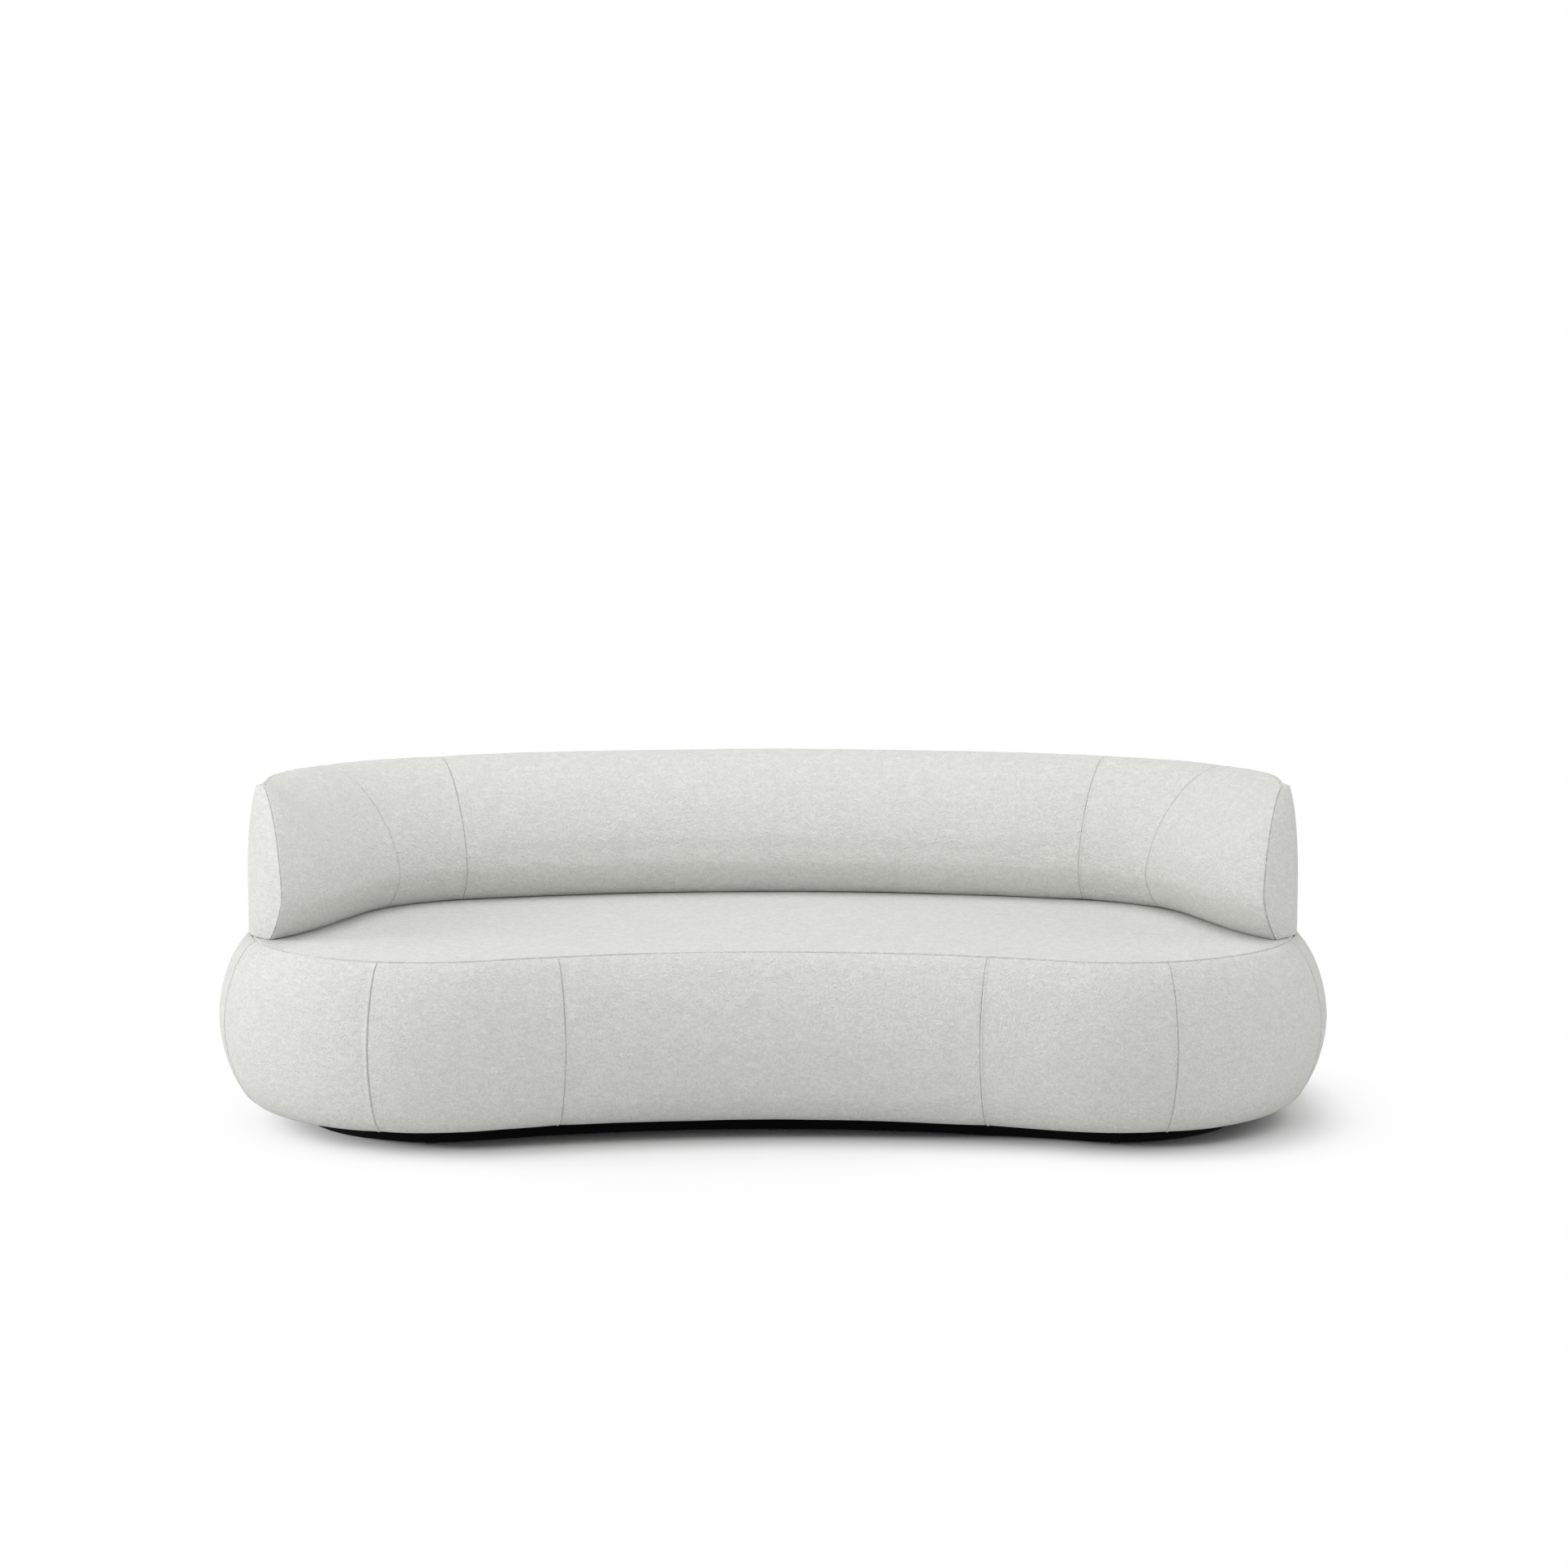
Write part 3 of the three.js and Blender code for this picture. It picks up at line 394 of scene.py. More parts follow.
@dataclass
class BackForm:
    """The curved bolster on the seat: a leaning face, a rounded crown and an upright wall."""

    plan: BasePlan
    seat_height: float = 0.411
    gap: float = 0.0003
    rise: float = 0.309
    belly_rise: float = 0.079
    crown_reach: float = 0.187
    belly: float = 0.043
    thickness: float = 0.233
    wall_tuck: float = 0.014
    top_edge_radius: float = 0.016
    wall_inset: float = 0.062
    round_power: float = 1.19
    arm_corner_radius: float = 0.340
    arm_corner_start: float = math.radians(19.3)
    arm_heading: float = math.radians(70)
    arm_run: float = 0.096
    tip_x: float = 1.052
    tip_y: float = -0.146
    tip_heading: float = math.radians(16.6)
    tip_reach: float = 0.215
    tip_flare: float = 0.020
    tip_flare_share: float = 1 / 3
    tip_flare_power: float = 1.5
    wall_arrival: float = math.radians(46.2)
    inner_curve_share: float = 0.6
    wall_curve_share: float = 1.35
    round_share: float = 0.08
    shoulder_share: float = 0.10

    def __post_init__(self) -> None:
        """Works out the plan of the foot and the proportions of the section."""
        plan = self.plan
        self.foot_radius = plan.rear_radius - self.wall_inset - self.thickness
        away = self.foot_radius - self.arm_corner_radius
        self.arm_x = away * math.sin(self.arm_corner_start)
        self.arm_y = plan.rear_y + away * math.cos(self.arm_corner_start)
        self.corner_run = self.foot_radius * self.arm_corner_start
        self.arm_start = self.corner_run + self.arm_corner_radius * (self.arm_heading - self.arm_corner_start)
        self.tip_start = self.arm_start + self.arm_run
        self.belly_reach = self.crown_reach + self.belly
        self.belly_height = self.seat_height + self.belly_rise
        self.crown_half = self.rise - self.belly_rise
        seat_line = math.acos((self.crown_reach / self.belly_reach) ** (1 / self.round_power))
        self.belly_drop = self.belly_rise / math.sin(seat_line) ** self.round_power
        self.bottom = self.seat_height + self.gap

    def foot(self, run: np.ndarray) -> tuple[np.ndarray, np.ndarray]:
        """Gives the line where the right half of the back meets the seat.

        Args:
            run: distances along that line from the middle of the back.

        Returns:
            Points in the plan's own frame and outward directions, a row per run.
        """
        on_rear = run <= self.corner_run
        turned = self.arm_corner_start + (run - self.corner_run) / self.arm_corner_radius
        angle = np.where(on_rear, run / self.foot_radius, np.minimum(turned, self.arm_heading))
        ahead = np.maximum(run - self.arm_start, 0.0)
        way = np.stack([np.sin(angle), np.cos(angle)], axis=1)
        along = np.stack([way[:, 1], -way[:, 0]], axis=1)
        centre = np.stack([
            np.where(on_rear, 0.0, self.arm_x), np.where(on_rear, self.plan.rear_y, self.arm_y)
        ], axis=1)
        radius = np.where(on_rear, self.foot_radius, self.arm_corner_radius)
        return centre + radius[:, None] * way + ahead[:, None] * along, way

    def wall_reach(self, foot: np.ndarray, way: np.ndarray) -> np.ndarray:
        """Finds how far the outer wall stands from points of the foot, along their outward directions."""
        plan = self.plan

        def to_circle(x: float, y: float, radius: float) -> np.ndarray:
            """Measures to a circle from inside it."""
            away = foot - np.array([x, y])
            half = (away * way).sum(axis=1)
            room = half ** 2 - (away ** 2).sum(axis=1) + radius ** 2
            return np.sqrt(np.maximum(room, 0.0)) - half

        level = np.maximum(way[:, 0], TOUCHING)
        side = (plan.overall_width / 2 - self.wall_inset - foot[:, 0]) / level
        on_side = foot[:, 1] + way[:, 1] * side < plan.side_run
        corner = to_circle(plan.corner_x, plan.side_run, plan.corner_radius - self.wall_inset)
        hit = foot + way * corner[:, None] - np.array([plan.corner_x, plan.side_run])
        on_corner = (hit[:, 0] > 0) & (np.arctan2(hit[:, 1], hit[:, 0]) < plan.corner_angle)
        rear = to_circle(0.0, plan.rear_y, plan.rear_radius - self.wall_inset)
        return np.where(on_side, side, np.where(on_corner, corner, rear))

    def face_section(self, edge_reach: np.ndarray, share: np.ndarray) -> tuple[np.ndarray, np.ndarray]:
        """Gives the face's section from the seat to the top edge.

        Args:
            edge_reach: how far behind the foot the top edge lies, one per section.
            share: how far up the section each point lies, from 0 to 1.

        Returns:
            Reaches and heights, a row per section.
        """
        power = 1 / self.round_power
        low = -math.asin(((self.belly_height - self.bottom) / self.belly_drop) ** power)
        level = (self.crown_reach - edge_reach) / self.belly_reach
        high = np.arccos(rounded(level, power))
        angle = low + (high - low)[:, None] * share[None, :]
        height = np.where(angle > 0, self.crown_half, self.belly_drop)
        reach = self.crown_reach - self.belly_reach * rounded(np.cos(angle), self.round_power)
        return reach, self.belly_height + height * rounded(np.sin(angle), self.round_power)

    def wall_section(
        self, edge_reach: np.ndarray, edge_height: np.ndarray, wall: np.ndarray, share: np.ndarray
    ) -> tuple[np.ndarray, np.ndarray]:
        """Gives the wall's section from the top edge down to the seat.

        Args:
            edge_reach: how far behind the foot the top edge lies, one per section.
            edge_height: its height over the floor, one per section.
            wall: how far behind the foot the wall stands, one per section.
            share: how far down the section each point lies, from 0 to 1.

        Returns:
            Reaches and heights, a row per section.
        """
        turn = np.clip(share / self.round_share, 0.0, 1.0)[None, :] * math.pi / 2
        top = (edge_height - self.top_edge_radius)[:, None]
        down = np.clip((share - self.round_share) / (1 - self.round_share), 0.0, 1.0)[None, :]
        height = top + self.top_edge_radius * np.cos(turn) + (self.bottom - top) * down
        middle = (top + self.bottom) / 2
        tuck = self.wall_tuck * ((np.minimum(height, top) - middle) / (top - middle)) ** 2
        reach = wall[:, None] - tuck - self.top_edge_radius * (1 - np.sin(turn))
        return reach, height

    def main_sections(self, run: np.ndarray, share: np.ndarray) -> tuple[np.ndarray, np.ndarray]:
        """Gives the face and the wall of the right half at runs before the tip, as grids of points."""
        foot, way = self.foot(run)
        wall = self.wall_reach(foot, way)
        edge = wall - self.wall_tuck - self.top_edge_radius
        face_reach, face_height = self.face_section(edge, share)
        edge_height = self.face_section(edge, np.ones(1))[1][:, 0]
        wall_reach, wall_height = self.wall_section(edge, edge_height, wall, 1 - share[::-1])
        grids = []
        for reach, height in ((face_reach, face_height), (wall_reach, wall_height)):
            flat = foot[:, None, :] + way[:, None, :] * reach[:, :, None]
            grids.append(np.concatenate([flat, height[:, :, None]], axis=2))
        return grids[0], grids[1]

    def end_seam(self, share: np.ndarray) -> np.ndarray:
        """Gives the seam at the tip, where the face and the wall meet, from the seat upwards."""
        reach, height = self.face_section(np.array([self.tip_reach]), share)
        fading = np.maximum(1 - share / self.tip_flare_share, 0.0)
        flare = self.tip_flare * fading ** self.tip_flare_power
        x = self.tip_x + math.sin(self.tip_heading) * reach[0] + flare
        y = self.tip_y + math.cos(self.tip_heading) * reach[0]
        return np.stack([x, y, height[0]], axis=1)

    def tip_sections(self, tip: np.ndarray, share: np.ndarray) -> tuple[np.ndarray, np.ndarray]:
        """Gives the face and the wall of the right tip, as grids of points.

        Args:
            tip: how far along the tip each section lies, from 0 to 1.
            share: how far up the face each point lies, from 0 to 1.

        Returns:
            The face's grid and the wall's grid.
        """
        face, wall = self.main_sections(np.array([self.tip_start]), share)
        seam = self.end_seam(share)
        down = 1 - share[::-1]
        face_way = np.array([math.cos(self.arm_heading), -math.sin(self.arm_heading), 0.0])
        face_end = np.array([math.cos(self.tip_heading), -math.sin(self.tip_heading), 0.0])
        wall_way = np.array([0.0, -1.0, 0.0])
        wall_end = np.array([-math.sin(self.wall_arrival), -math.cos(self.wall_arrival), 0.0])
        face_grid = self.curve(face[0], face_way, seam, face_end, tip, self.inner_curve_share)
        wall_grid = self.curve(wall[0], wall_way, seam[::-1], wall_end, tip, self.wall_curve_share)
        below = 1 - np.clip(down / self.shoulder_share, 0.0, 1.0)
        left_over = 1 - np.sqrt(1 - below ** 2)
        wall_grid += (face_grid[:, -1:] - wall_grid[:, :1]) * left_over[None, :, None]
        return face_grid, wall_grid

    @staticmethod
    def curve(
        start: np.ndarray, start_way: np.ndarray, end: np.ndarray, end_way: np.ndarray,
        share: np.ndarray, strength: float,
    ) -> np.ndarray:
        """Runs a smooth curve between each pair of points, with a direction at either end.

        Args:
            start: where the curves start, a row each.
            start_way: the direction that all have there.
            end: where they end.
            end_way: the direction that all have there.
            share: how far along the curves the wanted points lie.
            strength: how far the directions carry, as a share of the distance.

        Returns:
            A grid of points, a row per share and a column per curve.
        """
        span = (np.linalg.norm(end - start, axis=1) * strength)[None, :, None]
        s = share[:, None, None]
        return (
            (2 * s ** 3 - 3 * s ** 2 + 1) * start[None]
            + (s ** 3 - 2 * s ** 2 + s) * span * start_way[None]
            + (3 * s ** 2 - 2 * s ** 3) * end[None]
            + (s ** 3 - s ** 2) * span * end_way[None]
        )


# Cloth


@dataclass(frozen=True)
class Upholstering:
    """How hard the padding presses on a cover while it is simulated, and how far the cover may give."""

    spacing: float = 26 * MM
    pressure: float = 4.0
    stiffness: float = 12.0
    bending: float = 0.8
    mass: float = 0.4
    last_frame: int = 20
    most_give: float = 3.0 * MM
    start_under: float = 1.8 * MM
    kept_steps: float = 0.01 * MM

    def give(self, points: np.ndarray, normals: np.ndarray, pinned: np.ndarray) -> np.ndarray:
        """Simulates a cover whose seams are held while the padding presses from inside.

        Args:
            points: the cover as a grid of points.
            normals: its outward directions.
            pinned: which points are held.

        Returns:
            How far each point moved outwards, up to the most that the cover may give.
        """
        faces = grid_faces(*points.shape[:2])
        mesh = bpy.data.meshes.new("cover_under_pressure")
        mesh.from_pydata(points.reshape(-1, 3).tolist(), [], faces.tolist())
        outward = np.zeros(3 * len(faces))
        mesh.polygons.foreach_get("normal", outward)
        own = normals.reshape(-1, 3)[faces[:, 0]]
        if (outward.reshape(-1, 3) * own).sum() < 0:
            mesh.flip_normals()
        cover = bpy.data.objects.new("cover_under_pressure", mesh)
        bpy.context.scene.collection.objects.link(cover)
        held = cover.vertex_groups.new(name="sewn")
        held.add(np.flatnonzero(pinned.reshape(-1)).tolist(), 1.0, "REPLACE")
        cloth = cover.modifiers.new("padding", "CLOTH")
        settings = cloth.settings
        settings.vertex_group_mass = "sewn"
        settings.mass = self.mass
        settings.tension_stiffness = settings.compression_stiffness = self.stiffness
        settings.bending_stiffness = self.bending
        settings.use_pressure = True
        settings.uniform_pressure_force = self.pressure
        settings.effector_weights.gravity = 0.0
        cloth.collision_settings.use_collision = False
        cloth.point_cache.frame_start, cloth.point_cache.frame_end = 1, self.last_frame
        for frame in range(1, self.last_frame + 1):
            bpy.context.scene.frame_set(frame)
        pressed = cover.evaluated_get(bpy.context.evaluated_depsgraph_get()).to_mesh()
        moved = np.zeros(3 * len(pressed.vertices))
        pressed.vertices.foreach_get("co", moved)
        bpy.data.objects.remove(cover)
        bpy.data.meshes.remove(mesh)
        bpy.context.scene.frame_set(1)
        out = ((moved.reshape(points.shape) - points) * normals).sum(axis=2)
        return np.round(np.clip(out, 0.0, self.most_give) / self.kept_steps) * self.kept_steps


UPHOLSTERING = Upholstering()


@dataclass
class ClothGrid:
    """A cover's surface as a grid of points, before it is cut into panels at its seams."""

    points: np.ndarray
    normals: np.ndarray = field(init=False)
    heights: np.ndarray = field(init=False)

    def __post_init__(self) -> None:
        """Works out the outward directions and starts with no relief."""
        across = np.gradient(self.points, axis=0)
        up = np.gradient(self.points, axis=1)
        normals = np.cross(across, up)
        self.normals = normals / np.maximum(np.linalg.norm(normals, axis=2, keepdims=True), NO_LENGTH)
        self.heights = np.zeros(self.points.shape[:2])

    def sew_column(self, seam: Seam, column: int, lips: tuple[float, float], phase: float) -> None:
        """Adds the relief of a seam that runs up the grid, with the lip's height on either side of it."""
        across = runs_of_length(self.points, 0)
        along = runs_of_length(self.points, 1)
        away = across - across[column][None, :]
        for before, lip in zip((True, False), lips):
            side = away < 0 if before else away >= 0
            relief = seam.relief(np.abs(away), along, lip, phase)
            self.heights += np.where(side, relief, 0.0)

    def sew_row(self, seam: Seam, row: int, lip: float, phase: float) -> None:
        """Adds the relief of a seam that runs along the grid's first or last row."""
        across = runs_of_length(self.points, 1)
        along = runs_of_length(self.points, 0)
        self.heights += seam.relief(np.abs(across - across[:, [row]]), along, lip, phase)

    def soften(self, swell: float, unevenness: float) -> None:
        """Swells the padding and makes it slightly uneven, as hand-laid foam and wadding are."""
        self.heights += swell + unevenness * lumpiness(self.points, PADDING_LUMPS)

    def inflate(self, seams: Sequence[int]) -> None:
        """Lets the padding push the cloth out between its seams, by cloth simulation.

        Args:
            seams: the columns that are sewn, besides the first and last rows.
        """
        columns, rows = self.points.shape[:2]
        held = sorted({0, columns - 1, *seams})
        across = thinned(runs_of_length(self.points, 0)[:, rows // 2], UPHOLSTERING.spacing, held)
        up = thinned(runs_of_length(self.points, 1)[columns // 2], UPHOLSTERING.spacing, [0, rows - 1])
        coarse = np.ix_(across, up)
        pinned = np.zeros((len(across), len(up)), dtype=bool)
        pinned[:, [0, -1]] = True
        pinned[np.isin(across, held)] = True
        give = UPHOLSTERING.give(self.points[coarse], self.normals[coarse], pinned) - UPHOLSTERING.start_under
        by_row = np.stack([np.interp(np.arange(columns), across, line) for line in give.T], axis=1)
        self.heights += np.stack([np.interp(np.arange(rows), up, line) for line in by_row])

    def tuck(self, reach: float, depth: float, free_ends: float) -> None:
        """Draws the cloth in along its first row, where it is pulled under the padding and stapled.

        Args:
            reach: how far above the row the tuck starts.
            depth: how far the row itself moves in.
            free_ends: length at either end of the row over which the tuck runs out.
        """
        up = runs_of_length(self.points, 1)
        along = runs_of_length(self.points, 0)[:, :1]
        from_end = np.minimum(along, along[-1] - along)
        share = 1 - np.sqrt(1 - (1 - np.clip(up / reach, 0.0, 1.0)) ** 2)
        level = self.normals * np.array([1.0, 1.0, 0.0])
        self.points = self.points - level * (depth * share * smooth(from_end / free_ends))[:, :, None]

    def fill_corner(self, corner: np.ndarray, reach: float) -> None:
        """Keeps the seams that meet at a corner from denting it.

        Args:
            corner: where the seams meet.
            reach: how far from it the seams come back to their full depth.
        """
        away = np.linalg.norm(self.points - corner, axis=2)
        lowest = DEEPEST_AT_CORNER + (DEEPEST - DEEPEST_AT_CORNER) * smooth(away / reach)
        self.heights = np.maximum(self.heights, lowest)

    def outer(self, first: int, last: int) -> np.ndarray:
        """Gives the outer side of the panel between two columns, relief included."""
        part = slice(first, last + 1)
        heights = np.maximum(self.heights[part], DEEPEST)
        return self.points[part] + self.normals[part] * heights[:, :, None]

    def inner(self, first: int, last: int, depth: float) -> np.ndarray:
        """Gives the inner side of the panel between two columns."""
        part = slice(first, last + 1)
        return self.points[part] - self.normals[part] * depth

    def cut(self, name: str, first: int, last: int, thickness: float) -> bpy.types.Object:
        """Cuts out the panel between two columns, which stands for the frame's node of that name."""
        return Panel(f"{name}_felt", self.outer(first, last), self.inner(first, last, thickness)).build()


@dataclass
class Panel:
    """A cut piece of the cover as a closed solid of cloth."""

    name: str
    outer: np.ndarray
    inner: np.ndarray
    inner_rows: int = 9

    def build(self) -> bpy.types.Object:
        """Joins the outer and the inner side round the edges, and makes the object.

        Returns:
            The panel's object, at the origin of the part's frame.
        """
        columns, rows = self.outer.shape[:2]
        kept = np.unique(np.linspace(0, rows - 1, self.inner_rows).round().astype(int))
        inner = self.inner[:, kept]
        count = len(kept)
        vertices = np.concatenate([self.outer.reshape(-1, 3), inner.reshape(-1, 3)])
        start = columns * rows
        faces: list[tuple[int, ...]] = []
        for i in range(columns - 1):
            a, b = i * rows, (i + 1) * rows
            faces.extend((a + j, b + j, b + j + 1, a + j + 1) for j in range(rows - 1))
            c, d = start + i * count, start + (i + 1) * count
            faces.extend((c + j, c + j + 1, d + j + 1, d + j) for j in range(count - 1))
            faces.append((a, c, d, b))
            faces.append((a + rows - 1, b + rows - 1, d + count - 1, c + count - 1))
        for i, flipped in ((0, False), (columns - 1, True)):
            ring = [i * rows + j for j in range(rows)]
            ring += [start + i * count + j for j in reversed(range(count))]
            faces.append(tuple(reversed(ring)) if flipped else tuple(ring))
        return make_object(self.name, vertices, faces)


def make_object(name: str, vertices: np.ndarray, faces: Sequence[Sequence[int]]) -> bpy.types.Object:
    """Makes a smooth closed mesh object.

    Args:
        name: the piece's name.
        vertices: its points, a row each.
        faces: its faces, as indices of points.

    Returns:
        The object, linked to the scene.
    """
    mesh = bpy.data.meshes.new(name)
    mesh.from_pydata(vertices.tolist(), [], faces)
    made = bmesh.new()
    made.from_mesh(mesh)
    bmesh.ops.remove_doubles(made, verts=made.verts, dist=WELD)
    bmesh.ops.recalc_face_normals(made, faces=made.faces)
    made.to_mesh(mesh)
    made.free()
    mesh.polygons.foreach_set("use_smooth", [True] * len(mesh.polygons))
    mesh.set_sharp_from_angle(angle=SHARP_EDGE)
    piece = bpy.data.objects.new(name, mesh)
    bpy.context.scene.collection.objects.link(piece)
    return piece


# Finishes


def linear(hex_colour: str) -> tuple[float, float, float, float]:
    """Turns an sRGB hex colour into the linear values that a shader takes."""
    values = [int(hex_colour[k:k + 2], 16) / 255 for k in (1, 3, 5)]
    red, green, blue = (v / 12.92 if v <= 0.04045 else ((v + 0.055) / 1.055) ** 2.4 for v in values)
    return red, green, blue, 1.0


def add_node(
    tree: bpy.types.NodeTree, kind: str, settings: Optional[dict[str, Any]] = None,
    values: Optional[dict[Any, Any]] = None, links: Optional[dict[Any, Any]] = None,
) -> bpy.types.Node:
    """Adds a node with its settings and links.

    Args:
        tree: the material's or world's nodes.
        kind: the node's type.
        settings: properties of the node.
        values: constants for its inputs.
        links: outputs of other nodes for its inputs.

    Returns:
        The new node.
    """
    node = tree.nodes.new(kind)
    for key, value in (settings or {}).items():
        setattr(node, key, value)
    for key, value in (values or {}).items():
        node.inputs[key].default_value = value
    for key, source in (links or {}).items():
        tree.links.new(source, node.inputs[key])
    return node


def new_material(name: str) -> bpy.types.Material:
    """Makes a material with an empty node tree."""
    material = bpy.data.materials.new(name)
    material.use_nodes = True
    material.node_tree.nodes.clear()
    return material


@dataclass(frozen=True)
class WoolFelt:
    """Boiled wool-blend bouclé felt, milled until the loops close into small nubs.

    To the eye it is a warm pale grey with matte, slightly wrinkled nubs a few millimetres across, and a soft
    bloom of loose fibres where it turns away. The colour is painted greyer where the relief is low, in the
    pits between the nubs and the troughs of the crinkles: painted shade, with faint patches of random tone on
    top.
    """

    name: str = "wool_felt"
    light: str = "#F2F2EE"
    dark: str = "#DBDBD7"
    nub: float = 3.6 * MM
    fibre: float = 1.7 * MM
    crinkle: float = 7 * MM
    level_stretch: float = 0.45
    patch: float = 60 * MM
    nub_share: float = -0.9
    crinkle_share: float = 1.3
    patch_share: float = 0.15
    darkest: float = 0.3
    lightest: float = 1.5
    relief: float = 2.4 * MM
    roughness: float = 0.95
    sheen: float = 0.18
    sheen_roughness: float = 0.55
    gloss: float = 0.25

    def build(self) -> bpy.types.Material:
        """Makes the felt's material."""
        material = new_material(self.name)
        tree = material.node_tree
        place = add_node(tree, "ShaderNodeTexCoord").outputs["Object"]
        warp = add_node(
            tree, "ShaderNodeTexNoise", values={"Scale": 1 / self.crinkle, "Detail": 2.0},
            links={"Vector": place},
        )
        push = add_node(
            tree, "ShaderNodeVectorMath", {"operation": "MULTIPLY_ADD"},
            {1: (self.nub,) * 3}, {0: warp.outputs["Color"], 2: place},
        )
        nubs = add_node(
            tree, "ShaderNodeTexVoronoi", {"feature": "SMOOTH_F1"},
            {"Scale": 1 / self.nub, "Smoothness": 0.6, "Randomness": 1.0}, {"Vector": push.outputs[0]},
        )
        fibres = add_node(
            tree, "ShaderNodeTexNoise", values={"Scale": 1 / self.fibre, "Detail": 3.0, "Distortion": 0.6},
            links={"Vector": push.outputs[0]},
        )
        level = add_node(
            tree, "ShaderNodeMapping", values={"Scale": (self.level_stretch, self.level_stretch, 1.0)},
            links={"Vector": push.outputs[0]},
        )
        folds = add_node(
            tree, "ShaderNodeTexNoise", values={"Scale": 1 / self.crinkle, "Detail": 3.0, "Distortion": 0.9},
            links={"Vector": level.outputs[0]},
        )
        patches = add_node(
            tree, "ShaderNodeTexNoise", values={"Scale": 1 / self.patch, "Detail": 2.0},
            links={"Vector": place},
        )
        sums = [fibres.outputs["Fac"]]
        for layer, share in (
            (nubs.outputs["Distance"], self.nub_share), (folds.outputs["Fac"], self.crinkle_share),
            (patches.outputs["Fac"], self.patch_share),
        ):
            added = add_node(
                tree, "ShaderNodeMath", {"operation": "MULTIPLY_ADD"}, {1: share}, {0: layer, 2: sums[-1]}
            )
            sums.append(added.outputs[0])
        height, shade = sums[-2:]
        # Painted shade: the tint follows the height of the relief, so the pits come out darker; the patches
        # add random tone
        tint = add_node(
            tree, "ShaderNodeMapRange", {"interpolation_type": "SMOOTHSTEP"},
            {"From Min": self.darkest, "From Max": self.lightest}, {"Value": shade},
        )
        colour = add_node(
            tree, "ShaderNodeMix", {"data_type": "RGBA"}, {"A": linear(self.dark), "B": linear(self.light)},
            {"Factor": tint.outputs["Result"]},
        )
        bump = add_node(
            tree, "ShaderNodeBump", values={"Strength": 1.0, "Distance": self.relief},
            links={"Height": height},
        )
        shader = add_node(
            tree, "ShaderNodeBsdfPrincipled",
            values={
                "Roughness": self.roughness, "Sheen Weight": self.sheen,
                "Sheen Roughness": self.sheen_roughness, "Specular IOR Level": self.gloss, "IOR": 1.5,
            },
            links={"Base Color": colour.outputs["Result"], "Normal": bump.outputs[0]},
        )
        add_node(tree, "ShaderNodeOutputMaterial", links={"Surface": shader.outputs[0]})
        return material


@dataclass(frozen=True)
class TwoToneFinish:
    """A finish whose fine pattern runs from a dark tint to a light one and stands a little in relief."""

    name: str
    dark: str
    light: str
    grain: float
    relief: float
    relief_strength: float
    roughness: float
    stretch: tuple[float, float, float] = (1.0, 1.0, 1.0)
    detail: float = 3.0
    distortion: float = 0.0
    shine: tuple[tuple[str, float], ...] = (("IOR", 1.5),)

    def pattern(self, tree: bpy.types.NodeTree) -> bpy.types.NodeSocket:
        """Makes a grain of the finish's own size, drawn out along the axes that its stretch lowers."""
        place = add_node(tree, "ShaderNodeTexCoord").outputs["Object"]
        drawn = add_node(tree, "ShaderNodeMapping", values={"Scale": self.stretch}, links={"Vector": place})
        grain = add_node(
            tree, "ShaderNodeTexNoise",
            values={"Scale": 1 / self.grain, "Detail": self.detail, "Distortion": self.distortion},
            links={"Vector": drawn.outputs[0]},
        )
        return grain.outputs["Fac"]

    def build(self) -> bpy.types.Material:
        """Makes the finish's material."""
        material = new_material(self.name)
        tree = material.node_tree
        pattern = self.pattern(tree)
        tint = add_node(
            tree, "ShaderNodeMix", {"data_type": "RGBA"}, {"A": linear(self.dark), "B": linear(self.light)},
            {"Factor": pattern},
        )
        bump = add_node(
            tree, "ShaderNodeBump", values={"Strength": self.relief_strength, "Distance": self.relief},
            links={"Height": pattern},
        )
        shader = add_node(
            tree, "ShaderNodeBsdfPrincipled", values={"Roughness": self.roughness, **dict(self.shine)},
            links={"Base Color": tint.outputs["Result"], "Normal": bump.outputs[0]},
        )
        add_node(tree, "ShaderNodeOutputMaterial", links={"Surface": shader.outputs[0]})
        return material


@dataclass(frozen=True)
class PaintedWood(TwoToneFinish):
    """Plywood sprayed with matte black lacquer: near black, with the faintest grain and a dull gleam."""

    name: str = "black_lacquered_plywood"
    dark: str = "#060607"
    light: str = "#0C0C0D"
    grain: float = 3 * MM
    relief: float = 0.1 * MM
    relief_strength: float = 0.15
    roughness: float = 0.75
    stretch: tuple[float, float, float] = (0.08, 0.08, 1.0)
    detail: float = 4.0
    shine: tuple[tuple[str, float], ...] = (("Specular IOR Level", 0.15), ("IOR", 1.5))


@dataclass(frozen=True)
class BirchPlywood(TwoToneFinish):
    """Rotary-cut birch plywood, sanded: pale warm wood with long flame grain and darker glue lines."""

    name: str = "birch_plywood"
    dark: str = "#B18F5E"
    light: str = "#D8BE94"
    grain: float = 7 * MM
    relief: float = 0.15 * MM
    relief_strength: float = 0.25
    roughness: float = 0.65
    stretch: tuple[float, float, float] = (0.06, 1.0, 1.0)
    detail: float = 5.0
    distortion: float = 1.4


